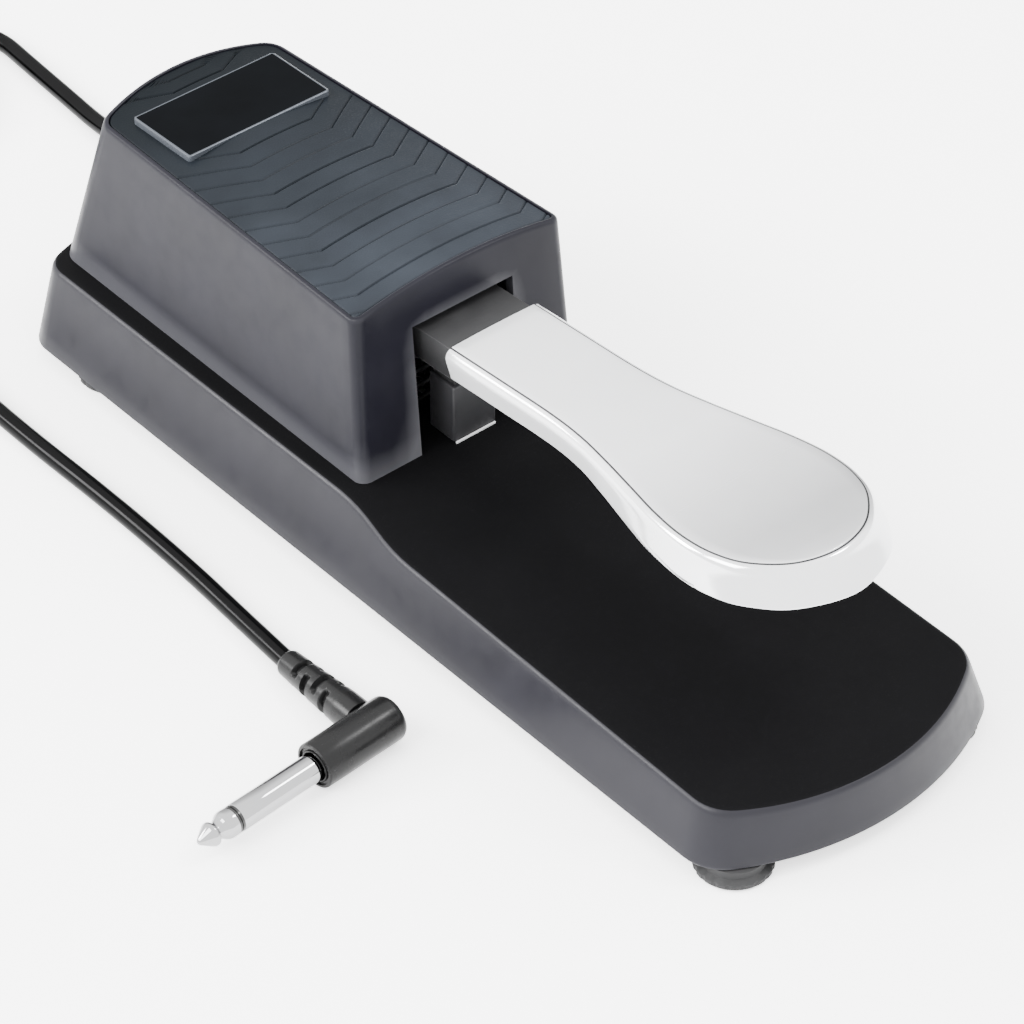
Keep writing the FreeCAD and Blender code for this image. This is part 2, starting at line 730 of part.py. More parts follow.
def make_pivot():
    pin = new_body("pivot_pin")
    half = sketch_on(pin, "pin_half", "XZ_Plane")
    outer = S.cheek_inner + S.cheek_thick
    groove, end = outer + 0.1, outer + 2.4
    r, neck = S.pin_radius, S.pin_radius - 0.6
    loop(half, [(0, -end), (r - 0.4, -end), (r, -end + 0.4), (r, -groove - 0.9), (neck, -groove - 0.9),
                (neck, -groove), (r, -groove), (r, groove), (neck, groove), (neck, groove + 0.9),
                (r, groove + 0.9), (r, end - 0.4), (r - 0.4, end), (0, end)])
    spin(pin, "pin_turned", half)
    place(pin, 0, S.pivot_back, S.pivot_height, ALONG["x"])

    clips, bushes = [], []
    for side in (-1, 1):
        start = groove + 0.05 if side > 0 else -(groove + 0.05) - 0.8
        at = (start, S.pivot_back, S.pivot_height)
        disc = rod("clip_disc", 4.8, 0.8, at, "x")
        hole = rod("clip_hole", neck, 0.8, at, "x")
        clips.append(combine("Cut", f"pivot_clip_{side + 2}", [disc, hole]))

        bush = new_body(f"pivot_bush_{side + 2}")
        section = sketch_on(bush, f"bush_half_{side + 2}", "XZ_Plane")
        bore = S.pin_radius + S.running_gap
        loop(section, [(bore, 3.0), (S.bush_radius, 3.0), (S.bush_radius, S.arm_half), (5.6, S.arm_half),
                       (5.6, S.cheek_inner - 0.3), (bore, S.cheek_inner - 0.3)])
        spin(bush, f"bush_turned_{side + 2}", section)
        turn = ALONG["x"] if side > 0 else Rotation(Vector(0, 1, 0), -90)
        bushes.append(place(bush, 0, S.pivot_back, S.pivot_height, turn))
    return [pin, combine("Compound", "pivot_clips", clips), combine("Compound", "pivot_bushes", bushes)]


def make_pivot_bracket():
    body = new_body("pivot_bracket")
    side = sketch_on(body, "bracket_side", "YZ_Plane")
    loop(side, [(21, PLATE_TOP), (97, PLATE_TOP), (97, 36), (90, 52), (70, 52), (60, 38), (42, 12),
                (21, PLATE_TOP + 2)])
    pad(body, "bracket_block", side, (S.cheek_inner + S.cheek_thick) * 2, symmetric=True)
    inside = sketch_on(body, "bracket_inside", "YZ_Plane")
    loop(inside, [(19, PLATE_TOP + 2), (100, PLATE_TOP + 2), (100, 60), (19, 60)])
    pocket(body, "bracket_channel", inside, S.cheek_inner * 2, symmetric=True)
    bridge = sketch_on(body, "bracket_bridge", "YZ_Plane")
    loop(bridge, [(88, 33.8), (95.5, 33.8), (95.5, 35.8), (88, 35.8)])
    pad(body, "bracket_stop_tab", bridge, S.cheek_inner * 2, symmetric=True)
    holes = sketch_on(body, "bracket_pin_hole", "YZ_Plane")
    circle(holes, S.pivot_back, S.pivot_height, S.pin_radius)
    pocket(body, "bracket_pin_bored", holes, 60, symmetric=True)
    floor = sketch_on(body, "bracket_floor_holes", "XY_Plane", PLATE_TOP)
    for x, y in BRACKET_SCREWS:
        circle(floor, x, y, 1.4)
    pocket(body, "bracket_drilled", floor, 8, symmetric=True)
    rubber = box("up_stop_pad", (-7, 88.5, 35.8), (14, 6.5, 2.2))
    return [body, rubber]


SPRING_SEAT_TOP = PLATE_TOP + 4.0
SPRING_TOP = Size(44.9)


def make_return_spring():
    """A compression coil and the cup that it stands in."""
    seat = new_body("spring_seat")
    half = sketch_on(seat, "seat_half", "XZ_Plane")
    loop(half, [(0, 0), (8.0, 0), (8.0, 3.6), (6.9, 3.6), (6.9, 2.0), (4.0, 2.0), (3.4, 7.0), (0, 7.0)])
    spin(seat, "seat_turned", half)
    place(seat, 0, 30, PLATE_TOP + 2.0)

    wire_radius, coil_radius, turns = 0.7, 5.4, 8
    low = SPRING_SEAT_TOP.value + wire_radius + 0.1
    height = SPRING_TOP.value - wire_radius - low
    helix = Part.makeHelix(height / turns, height, coil_radius)
    section = Part.Wire(Part.makeCircle(wire_radius, Vector(coil_radius, 0, 0), Vector(0, 1, 0)))
    coil = Part.Wire(helix.Edges).makePipeShell([section], True, True)
    spring = doc.addObject("Part::Feature", "return_spring")
    spring.Shape = coil
    spring.Placement = Placement(Vector(0, 30, low), Rotation())
    return [seat, spring]


# ---------------------------------------------------------------- switches and inner wiring

def make_micro_switch():
    plate = new_body("switch_bracket")
    ell = sketch_on(plate, "switch_ell", "XZ_Plane", -44)
    floor = PLATE_TOP + 2.0
    loop(ell, [(3.4, floor), (13.0, floor), (13.0, floor + 1.5), (4.9, floor + 1.5), (4.9, 38.5),
               (3.4, 38.5)])
    pad(plate, "switch_plate", ell, 20, reversed_=True)
    holes = sketch_on(plate, "switch_plate_holes", "YZ_Plane")
    for y in (49.2, 58.8):
        circle(holes, y, 32.5, 1.1)
    pocket(plate, "switch_plate_drilled", holes, 40, symmetric=True)

    case = new_body("switch_body")
    side = sketch_on(case, "switch_side", "YZ_Plane", -3.0)
    loop(side, [(44, 29), (64, 29), (64, 39.0), (61.5, 39.0), (61.5, 38.4), (56.0, 38.4), (44, 38.4)])
    pad(case, "switch_case", side, 6.4)
    drill = sketch_on(case, "switch_holes", "YZ_Plane")
    for y in (49.2, 58.8):
        circle(drill, y, 32.5, 1.1)
    pocket(case, "switch_drilled", drill, 40, symmetric=True)
    well = sketch_on(case, "switch_well", "XY_Plane", 38.4)
    loop(well, [(-1.3, 54.7), (1.7, 54.7), (1.7, 57.7), (-1.3, 57.7)])
    pocket(case, "switch_well_cut", well, 2.6)

    button = box("switch_plunger", (-1.0, 55.0, 36.8), (2.4, 2.4, 3.7))

    lever = new_body("switch_lever")
    blade = sketch_on(lever, "lever_blade", "YZ_Plane", -1.8)
    loop(blade, [(62.8, 39.6), (62.8, 40.1), (47.0, 43.6), (45.6, 43.9), (44.6, 43.2), (44.9, 42.9),
                 (45.7, 43.4), (46.9, 43.1)])
    pad(lever, "lever_sheet", blade, 4.0)
    eye = sketch_on(lever, "lever_eye", "YZ_Plane", -1.8)
    circle(eye, 62.6, 39.85, 0.5)
    pad(lever, "lever_rolled_eye", eye, 4.0)

    tabs = [box(f"terminal_{i}", (-1.4, y, 23.5), (3.2, 0.6, 5.5))
            for i, y in enumerate((46.0, 54.0, 61.5), start=1)]
    terminals = combine("Compound", "switch_terminals", tabs)
    fixing = []
    for i, y in enumerate((49.2, 58.8), start=1):
        fixing.append(screw(f"switch_screw_{i}", (-3.0, y, 32.5), (2.0, 1.4), (1.1, 8.6), axis="x"))
    return [plate, case, button, lever, terminals, combine("Compound", "switch_screws", fixing)]


def make_polarity_switch():
    """A slide switch behind a window in the bottom plate."""
    case = new_body("polarity_switch")
    outline = sketch_on(case, "polarity_outline", "XY_Plane", PLATE_TOP)
    loop(outline, [(-12.5, -33.2), (12.5, -33.2), (12.5, -26.8), (-12.5, -26.8)])
    pad(case, "polarity_case", outline, 5.0)
    well = sketch_on(case, "polarity_well", "XY_Plane", PLATE_TOP)
    loop(well, [(-4.5, -32.0), (4.5, -32.0), (4.5, -28.0), (-4.5, -28.0)])
    pocket(case, "polarity_hollow", well, 2.2, reversed_=True)
    holes = sketch_on(case, "polarity_holes", "XY_Plane", PLATE_TOP)
    for x, y in POLARITY_SCREWS:
        circle(holes, x, y, 1.0)
    pocket(case, "polarity_drilled", holes, 12, symmetric=True)
    slider = new_body("polarity_slider")
    knob = sketch_on(slider, "slider_knob", "XY_Plane", PLATE_LOW - 0.5)
    loop(knob, [(-4.2, -31.7), (-0.8, -31.7), (-0.8, -28.3), (-4.2, -28.3)])
    pad(slider, "slider_block", knob, 4.0)
    return [case, slider]


def make_cord_fittings():
    """The bushing in the rear wall, the clamp inside it and the cord's end inside."""
    gland = new_body("cable_gland")
    half = sketch_on(gland, "gland_half", "XZ_Plane")
    bore = S.cord_radius
    loop(half, [(bore, -5.6), (4.6, -5.6), (4.6, -3.6), (3.5, -3.6), (3.5, 0.3), (5.2, 0.3), (5.2, 1.9),
                (4.3, 2.7), (3.2, 15.6), (2.9, 16.0), (bore, 16.0)])
    spin(gland, "gland_turned", half)
    slits = sketch_on(gland, "gland_slits", "XZ_Plane")
    for i in range(4):
        low = 4.2 + 2.8 * i
        near, far = (2.6, 6.0) if i % 2 else (-6.0, -2.6)
        loop(slits, [(near, low), (far, low), (far, low + 1.3), (near, low + 1.3)])
    pocket(gland, "gland_flexes", slits, 14, symmetric=True)
    at_port(gland, 0)

    clamp = new_body("cord_clamp")
    front = sketch_on(clamp, "clamp_front", "XY_Plane", -22.3)
    low = S.cord_exit_height - PLATE_TOP
    loop(front, [(-9, low), (9, low), (9, low - 1.6), (4.4, low - 1.6), (4.4, -2.4), (2.6, -4.2),
                 (-2.6, -4.2), (-4.4, -2.4), (-4.4, low - 1.6), (-9, low - 1.6)])
    pad(clamp, "clamp_saddle", front, 6)
    tunnel = sketch_on(clamp, "clamp_tunnel", "XY_Plane", -19.3)
    circle(tunnel, 0, 0, S.cord_radius)
    pocket(clamp, "clamp_bored", tunnel, 20, symmetric=True)
    holes = sketch_on(clamp, "clamp_holes", "XZ_Plane", -low)
    for side in (-6.4, 6.4):
        circle(holes, side, -19.3, 1.0)
    pocket(clamp, "clamp_drilled", holes, 6, symmetric=True)
    at_port(clamp, 0)

    inner = at_port(rod("inner_cord", S.cord_radius, 24.4, (0, 0, 0)), -24.4)
    return [gland, clamp, inner]


def tube(label, route, radius, share=0.45):
    """Straight runs joined by tangent arcs, swept with a round section."""
    points = [Vector(*p) for p in route]
    edges, start, radii = [], points[0], []
    for before, corner, after in zip(points, points[1:], points[2:]):
        way_in, way_out = corner - before, after - corner
        half_turn = way_in.getAngle(way_out) / 2
        back = share * min(way_in.Length, way_out.Length)
        radii.append(back / math.tan(half_turn))
        a = corner - way_in.normalize() * back
        b = corner + way_out.normalize() * back
        inward = (a + b) / 2 - corner
        centre = corner + inward.normalize() * (radii[-1] / math.cos(half_turn))
        middle = centre + (corner - centre).normalize() * radii[-1]
        edges.append(Part.LineSegment(start, a).toShape())
        edges.append(Part.Arc(a, middle, b).toShape())
        start = b
    edges.append(Part.LineSegment(start, points[-1]).toShape())
    path = Part.Wire(edges)
    ring = Part.makeCircle(radius, points[0], points[1] - points[0])
    solid = path.makePipeShell([Part.Wire(ring)], True, True)
    expected = math.pi * radius ** 2 * path.Length
    print(f"{label}: length {path.Length:.1f}, radii {[round(r, 1) for r in radii]}, "
          f"volume {solid.Volume:.1f} of {expected:.1f}")
    item = doc.addObject("Part::Feature", label)
    item.Shape = solid
    return item


WIRE_RADIUS = 0.6
WIRES = {
    "long": [(13.9, 99.8, 11.9), (11.6, 92, 12.6), (8, 80, 12.9), (3, 70, 14.0), (0.4, 63.6, 19.5),
             (0.2, 62.1, 24.6)],
    "short": [(14.9, 99.8, 10.5), (12.2, 91.5, 11.2), (9, 78, 11.2), (2, 66, 13.0), (-0.6, 57, 19.0),
              (-0.6, 54.9, 24.6)],
}


def make_switch_wires():
    parts = [tube(f"wire_{name}", route, WIRE_RADIUS) for name, route in WIRES.items()]
    return combine("Compound", "switch_wires", parts)


# ---------------------------------------------------------------- cord and plug

COIL_CENTRE = (-22.0, 228.0)
COIL_INNER = 22.5
COIL_RINGS = 3
COIL_LAYERS = 2
CORD_OUT = [
    (19.0, 123.3, 11.0), (21.68, 140.59, 11.0), (22.6, 158.5, 5.4), (23.3, 176.5, 2.3),
    (24.5, 192.5, 2.3), (25.6, 209.5, 2.3), (27.0, 227.4, 2.3), (15.0, 248.0, 2.3), (-5.9, 260.0, 2.3),
    (-23.0, 259.4, 2.3),
]
CORD_IN = [
    (-53.5, 219.0, 6.8), (-53.9, 207.0, 6.6), (-56.6, 186.0, 3.1), (-59.8, 158.0, 2.3),
    (-60.5, 125.0, 2.3), (-61.4, 92.0, 2.3), (-60.7, 60.0, 2.3), (-61.3, 31.0, 2.3),
    (-62.9, 9.0, 2.5), (-64.3, -8.0, 3.2),
]


def make_cord():
    radius = S.cord_radius.value
    out = tube("cord_out", CORD_OUT, radius)
    back = tube("cord_in", CORD_IN, radius)
    coil = new_body("cord_coil")
    section = sketch_on(coil, "coil_section", "XZ_Plane")
    inner = Size(COIL_INNER) - S.cord_radius
    outer = S.cord_radius * (2 * COIL_RINGS - 1) + COIL_INNER
    top = S.cord_radius * (2 * COIL_LAYERS) + 0.05
    loop(section, [(inner, 0.05), (outer, 0.05), (outer, top), (inner, top)])
    spin(coil, "coil_ring", section)
    place(coil, *COIL_CENTRE, 0)
    return [out, back, coil]


PLUG_ELBOW = (-65.4, -36.6)
ELBOW_TO_END = 6.2
ELBOW_TO_MOUTH = 16.2
SLEEVE_LENGTH = 21.6
RING_LENGTH = 1.2
TIP_LENGTH = 9.2


def make_plug():
    """A right-angle 6.35 mm plug; its shaft lies along the plug's own -Z, from the mouth."""
    turn = Rotation(Vector(0, 0, 1), DRIVING["plug_turn"]).multiply(Rotation(Vector(0, 1, 0), 90))
    at = (*PLUG_ELBOW, S.plug_axis_height)
    r = S.handle_radius
    pieces = []

    def turned(label, corners):
        body = new_body(label)
        half = sketch_on(body, label + "_half", "XZ_Plane")
        loop(half, corners)
        spin(body, label + "_turned", half)
        pieces.append(place(body, *at, turn))
        return body

    mouth = -ELBOW_TO_MOUTH
    turned("plug_handle", [
        (0, mouth + 2), (3.6, mouth + 2), (3.6, mouth), (r - 0.4, mouth), (r, mouth + 0.4),
        (r, ELBOW_TO_END - 1.2), (r - 1.2, ELBOW_TO_END), (0, ELBOW_TO_END)])
    shaft = S.sleeve_radius
    ring_top = mouth - SLEEVE_LENGTH
    ring_low = ring_top - RING_LENGTH
    turned("plug_sleeve", [(0, ring_top), (shaft, ring_top), (shaft, mouth - 1), (2.7, mouth - 1),
                           (2.7, mouth + 2), (0, mouth + 2)])
    turned("plug_insulator", [(0, ring_low), (shaft, ring_low), (shaft, ring_top), (0, ring_top)])
    low = ring_low - TIP_LENGTH
    turned("plug_tip", [
        (0, low), (0.5, low + 0.1), (2.75, low + 3.4), (2.6, low + 4.2), (1.95, low + 5.0), (2.3, low + 6.0),
        (shaft, low + 7.2), (shaft, ring_low), (0, ring_low)])

    boot = new_body("boot_blank")
    plane = sketch_on(boot, "boot_half", "XZ_Plane")
    length = 29.5
    loop(plane, [(0, 4.9), (4.1, 4.9), (4.1, 9.0), (3.05, length - 0.4), (2.7, length), (0, length)])
    spin(boot, "boot_turned", plane)
    start = Vector(*PLUG_ELBOW, DRIVING["plug_axis_height"])
    way = Vector(*CORD_IN[-1]) - start
    boot.Placement = Placement(start, Rotation(Vector(0, 0, 1), way))
    barrel = doc.addObject("Part::Cylinder", "boot_saddle")
    bind(barrel, "Radius", S.handle_radius)
    barrel.Height = 60
    barrel.Placement = Placement(start, turn).multiply(Placement(Vector(0, 0, -30), Rotation()))
    return pieces + [combine("Cut", "plug_boot", [boot, barrel])]


# ---------------------------------------------------------------- build, check and write

NODES = [make_base_shell()]
NODES += make_tower()
NODES.append(make_bottom_plate())
NODES += make_stop_block()
NODES += [make_feet(f"{end}_feet", places) for end, places in FOOT_PLACES.items()]
NODES.append(screws("foot_screws", FOOT_PLACES["front"] + FOOT_PLACES["rear"], (3.1, 1.4),
                    (THREAD_RADIUS, 8.0), 2.6))
NODES.append(screws("bottom_plate_screws", PLATE_SCREWS, (2.9, 1.4), (THREAD_RADIUS, 7.5), PLATE_LOW))
NODES.append(screws("bracket_screws", BRACKET_SCREWS, (2.9, 1.4), (1.4, 5.0), PLATE_LOW))
NODES.append(screws("housing_screws", TOWER_SCREWS, (3.0, 1.8), (1.25, 14.0),
                    S.ledge_height - S.wall))
NODES += [make_pedal_arm(), make_pedal_cap(), make_cap_screws()]
NODES += make_pivot()
NODES += make_pivot_bracket()
NODES += make_return_spring()
NODES += make_micro_switch()
NODES += make_polarity_switch()
NODES.append(screws("polarity_screws", POLARITY_SCREWS, (1.9, 0.9), (1.0, 5.0), PLATE_LOW))
NODES += make_cord_fittings()
NODES.append(screws("cord_clamp_screws", CLAMP_SCREWS, (1.9, 1.2), (1.0, 5.0), PLATE_LOW))
NODES.append(make_switch_wires())
NODES += make_cord()
NODES += make_plug()
doc.recompute()


def main():
    os.makedirs("parts", exist_ok=True)
    for item in doc.Objects:
        if {"Invalid", "Error"} & set(item.State):
            raise RuntimeError(f"{item.Label} failed: {item.State}")
    for node in NODES:
        shape = node.Shape
        if shape.isNull() or not shape.isValid() or not shape.Solids:
            raise RuntimeError(f"{node.Label} has no valid solid")
    for node in NODES:
        node.Shape.exportStep(os.path.join("parts", node.Label + ".step"))
        count = len(node.Shape.Solids)
        print(f"{node.Label}: {count} solid(s), {node.Shape.Volume:.0f} cubic mm")


main()
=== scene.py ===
"""The sustain pedal's visual model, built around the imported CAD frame. Metres throughout."""
import json
import math

import bmesh
import bpy
from mathutils import Matrix, Vector


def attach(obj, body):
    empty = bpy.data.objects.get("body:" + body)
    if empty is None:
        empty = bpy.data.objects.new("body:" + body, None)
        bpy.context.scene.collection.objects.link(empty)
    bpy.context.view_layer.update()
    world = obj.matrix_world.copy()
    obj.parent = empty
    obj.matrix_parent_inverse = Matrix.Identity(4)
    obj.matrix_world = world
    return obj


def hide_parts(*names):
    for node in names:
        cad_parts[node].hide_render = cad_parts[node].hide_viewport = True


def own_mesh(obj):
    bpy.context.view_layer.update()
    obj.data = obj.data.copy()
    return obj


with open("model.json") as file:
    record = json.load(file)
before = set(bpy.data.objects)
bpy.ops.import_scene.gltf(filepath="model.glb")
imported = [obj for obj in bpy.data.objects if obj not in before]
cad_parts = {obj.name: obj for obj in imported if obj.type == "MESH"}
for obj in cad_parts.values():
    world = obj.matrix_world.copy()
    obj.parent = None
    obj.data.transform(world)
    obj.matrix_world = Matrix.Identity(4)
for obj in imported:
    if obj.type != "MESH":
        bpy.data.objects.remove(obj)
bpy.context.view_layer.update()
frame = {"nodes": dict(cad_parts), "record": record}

NODES = frame["nodes"]
MM = 0.001


# ---------------------------------------------------------------- camera, light and floor

CAMERA_PLACE = Vector((-487.4, -574.5, 642.3))
CAMERA_LENS = 157.6
CAMERA_DIP = 40.23
CAMERA_TURN = -40.57
# Name, place, aim, size and watts of each soft light, in metres.
LIGHTS = [
    ("key", (-1.1, 0.1, 1.0), (0, 0, 0.02), 0.8, 30),
    ("edge_left", (-0.78, 0.70, 0.59), (0, 0, 0.03), 0.4, 20),
    ("edge_front", (0.64, -0.35, 1.08), (0, -0.05, 0.02), 0.25, 8),
]
# The sky's strength falls from the first level to the second as x + y goes from SKY_FROM to SKY_TO.
SKY_FROM, SKY_TO = 0.7, 1.4
SKY_BRIGHT, SKY_DIM = 4.6, 1.0
FLOOR_HALF = 4000
FLOOR_GLOW = 1.2


def make_camera():
    data = bpy.data.cameras.new("camera")
    data.sensor_width = 36.0
    data.lens = CAMERA_LENS
    data.clip_start = 0.05
    data.clip_end = 20.0
    camera = bpy.data.objects.new("camera", data)
    bpy.context.collection.objects.link(camera)
    camera.location = CAMERA_PLACE * MM
    camera.rotation_euler = (math.radians(90 - CAMERA_DIP), 0.0, math.radians(CAMERA_TURN))
    bpy.context.scene.camera = camera


def area_light(name, place, aim, size, watts):
    data = bpy.data.lights.new(name, "AREA")
    data.energy = watts
    data.size = size
    light = bpy.data.objects.new(name, data)
    bpy.context.collection.objects.link(light)
    light.location = place
    light.rotation_euler = (Vector(aim) - Vector(place)).to_track_quat("-Z", "Y").to_euler()


def make_studio():
    world = bpy.data.worlds.new("studio")
    bpy.context.scene.world = world
    world.use_nodes = True
    sky = world.node_tree.nodes["Background"]
    sky.inputs["Color"].default_value = (1.0, 1.0, 1.0, 1.0)
    tree = world.node_tree
    split = tree.nodes.new("ShaderNodeSeparateXYZ")
    tree.links.new(tree.nodes.new("ShaderNodeTexCoord").outputs["Generated"], split.inputs[0])
    both = tree.nodes.new("ShaderNodeMath")
    tree.links.new(split.outputs["X"], both.inputs[0])
    tree.links.new(split.outputs["Y"], both.inputs[1])
    level = spreading(tree, both.outputs[0], SKY_BRIGHT, SKY_DIM, (SKY_FROM, SKY_TO))
    tree.links.new(level, sky.inputs["Strength"])
    for light in LIGHTS:
        area_light(*light)
    skin = Skin()
    near = skin.row([(-FLOOR_HALF, -FLOOR_HALF, 0), (FLOOR_HALF, -FLOOR_HALF, 0)])
    far = skin.row([(-FLOOR_HALF, FLOOR_HALF, 0), (FLOOR_HALF, FLOOR_HALF, 0)])
    skin.join(near, far, closed=False)
    floor = skin.object("floor")
    white = finish("floor_white", (0.95, 0.95, 0.95), 0.8, spec=0.1, grain=None)
    glow = white.node_tree.nodes["Principled BSDF"]
    glow.inputs["Emission Color"].default_value = (1.0, 1.0, 1.0, 1.0)
    glow.inputs["Emission Strength"].default_value = FLOOR_GLOW
    floor.data.materials.append(white)


# ---------------------------------------------------------------- materials

MIDDLE_OF_NOISE = (0.3, 0.7)
# Pointiness range over which edges take the lighter colour: wear and painted highlight.
WORN_AND_LIT_EDGE = (0.53, 0.62)
MOTTLE_SCALE, GLOSS_SCALE = 60.0, 220.0
GRAIN_DEPTH = 0.0001


def spreading(tree, source, low, high, at=MIDDLE_OF_NOISE):
    """A value that goes from low to high while the source goes through the range at."""
    made = tree.nodes.new("ShaderNodeMapRange")
    tree.links.new(source, made.inputs["Value"])
    for key, value in zip(("From Min", "From Max", "To Min", "To Max"), (*at, low, high)):
        made.inputs[key].default_value = value
    return made.outputs["Result"]


def finish(name, colour, rough, metal=0.0, spec=0.5, grain=(3500, 0.12), mottle=0.12, spread=0.06,
           wear_and_highlight=None, painted_shade_y=None, painted_shading_metal_y=None):
    """A surface with its own grain, uneven gloss, slight colour change and lighter edges, which are wear
    and painted highlight.

    The colour change along Y is (start, end, colour at the end), a painted shade, and the metallic change
    along Y is (start, end, metallic at the end), painted shading."""
    material = bpy.data.materials.new(name)
    material.use_nodes = True
    tree = material.node_tree
    shader = tree.nodes["Principled BSDF"]
    shader.inputs["Metallic"].default_value = metal
    shader.inputs["Specular IOR Level"].default_value = spec
    shader.inputs["Roughness"].default_value = rough
    shader.inputs["Base Color"].default_value = (*colour, 1.0)
    if grain is None:
        return material

    def node(kind, **values):
        made = tree.nodes.new(kind)
        for key, value in values.items():
            made.inputs[key].default_value = value
        return made

    where = tree.nodes.new("ShaderNodeTexCoord").outputs["Object"]

    def noise(scale, detail):
        made = node("ShaderNodeTexNoise", Scale=scale, Detail=detail)
        tree.links.new(where, made.inputs["Vector"])
        return made.outputs["Fac"]

    def place_along_y():
        split = tree.nodes.new("ShaderNodeSeparateXYZ")
        tree.links.new(where, split.inputs[0])
        return split.outputs["Y"]

    def mixed(factor, first, second):
        made = tree.nodes.new("ShaderNodeMix")
        made.data_type = "RGBA"
        tree.links.new(factor, made.inputs[0])
        for socket, value in ((made.inputs[6], first), (made.inputs[7], second)):
            if isinstance(value, tuple):
                socket.default_value = (*value, 1.0)
            else:
                tree.links.new(value, socket)
        return made.outputs[2]

    def shade(amount):
        return tuple(min(c * amount, 1.0) for c in colour)

    patches = spreading(tree, noise(MOTTLE_SCALE, 3.0), 0.0, 1.0)
    tone = mixed(patches, shade(1 - mottle), shade(1 + mottle))
    # Painted shade: the tone changes to the given colour along Y.
    if painted_shade_y is not None:
        tone = mixed(spreading(tree, place_along_y(), 0.0, 1.0, painted_shade_y[:2]), tone, painted_shade_y[2])
    # Lighter edges by pointiness: wear and painted highlight.
    if wear_and_highlight is not None:
        edge = tree.nodes.new("ShaderNodeNewGeometry").outputs["Pointiness"]
        tone = mixed(spreading(tree, edge, 0.0, 1.0, WORN_AND_LIT_EDGE), tone, wear_and_highlight)
    # Painted shading: metallic changes along Y to change how bright the piece looks.
    if painted_shading_metal_y is not None:
        change = spreading(tree, place_along_y(), metal, painted_shading_metal_y[2], painted_shading_metal_y[:2])
        tree.links.new(change, shader.inputs["Metallic"])
    tree.links.new(tone, shader.inputs["Base Color"])
    gloss = spreading(tree, noise(GLOSS_SCALE, 4.0), max(rough - spread, 0.02), rough + spread)
    tree.links.new(gloss, shader.inputs["Roughness"])
    scale, strength = grain
    bump = node("ShaderNodeBump", Strength=strength, Distance=GRAIN_DEPTH)
    tree.links.new(noise(scale, 3.0), bump.inputs["Height"])
    tree.links.new(bump.outputs["Normal"], shader.inputs["Normal"])
    return material


def paint(obj, *materials):
    """Fill the material slots in order, and leave each face on the slot its zone gave it."""
    slots = obj.data.materials
    for k, material in enumerate(materials):
        if k < len(slots):
            slots[k] = material
        else:
            slots.append(material)
    return obj


# ---------------------------------------------------------------- meshes

WELD = 2e-6
SOFTENED_ANGLE = 34.0


class Skin:
    """Rows of points, in millimetres, joined by four-sided faces."""

    def __init__(self):
        self.points, self.faces, self.zones = [], [], []

    def row(self, points):
        start = len(self.points)
        self.points += [tuple(p) for p in points]
        return list(range(start, len(self.points)))

    def join(self, first, second, closed=True, zone=0, keep=None):
        count = len(first)
        for i in range(count if closed else count - 1):
            j = (i + 1) % count
            corners = (first[i], first[j], second[j], second[i])
            if keep is None or keep([self.points[c] for c in corners]):
                self.faces.append(corners)
                self.zones.append(zone)

    def object(self, name, sharp=35.0):
        mesh = bpy.data.meshes.new(name)
        mesh.from_pydata([tuple(c * MM for c in p) for p in self.points], [], self.faces)
        mesh.polygons.foreach_set("material_index", self.zones)
        obj = bpy.data.objects.new(name, mesh)
        bpy.context.collection.objects.link(obj)
        tidy(obj, sharp)
        return obj


def tidy(obj, sharp=35.0):
    """Weld, turn the faces outwards, and shade smooth except across sharp edges."""
    work = bmesh.new()
    work.from_mesh(obj.data)
    bmesh.ops.remove_doubles(work, verts=work.verts, dist=WELD)
    bmesh.ops.recalc_face_normals(work, faces=work.faces)
    for face in work.faces:
        face.smooth = True
    for edge in work.edges:
        edge.smooth = not (edge.is_manifold and edge.calc_face_angle(0.0) > math.radians(sharp))
    work.to_mesh(obj.data)
    work.free()
    obj.data.update()


def settle(obj, sharp=35.0):
    """Apply the piece's modifiers."""
    finished = obj.evaluated_get(bpy.context.evaluated_depsgraph_get())
    made = bpy.data.meshes.new_from_object(finished)
    obj.modifiers.clear()
    obj.data = made
    tidy(obj, sharp)
    return obj


def thicken(obj, wall):
    """Give an open skin a wall, in millimetres, on its inner side."""
    shell = obj.modifiers.new("wall", "SOLIDIFY")
    shell.thickness = wall * MM
    shell.offset = -1.0
    shell.use_even_offset = True
    shell.use_rim = True
    return settle(obj)


def belong(obj, body, slot, *nodes):
    """Say which body the piece rides on and the CAD nodes it stands for; the slot is not used."""
    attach(obj, body)
    if nodes:
        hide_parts(*nodes)
    return obj


def softened(node, width, body, slot, material, segments=2):
    """The CAD piece's own shape with its edges broken, as a moulded or machined piece has them."""
    source = NODES[node].data
    mesh = bpy.data.meshes.new(node + "_soft")
    mesh.from_pydata([v.co[:] for v in source.vertices], [], [p.vertices[:] for p in source.polygons])
    obj = bpy.data.objects.new(node + "_soft", mesh)
    bpy.context.collection.objects.link(obj)
    work = bmesh.new()
    work.from_mesh(mesh)
    bmesh.ops.remove_doubles(work, verts=work.verts, dist=WELD)
    bmesh.ops.dissolve_limit(work, angle_limit=math.radians(1.0), verts=work.verts, edges=work.edges)
    work.to_mesh(mesh)
    work.free()
    if width:
        edge = obj.modifiers.new("edge", "BEVEL")
        edge.width = width * MM
        edge.segments = segments
        edge.limit_method = "ANGLE"
        edge.angle_limit = math.radians(SOFTENED_ANGLE)
    settle(obj, 40.0)
    paint(obj, material)
    return belong(obj, body, slot, node)


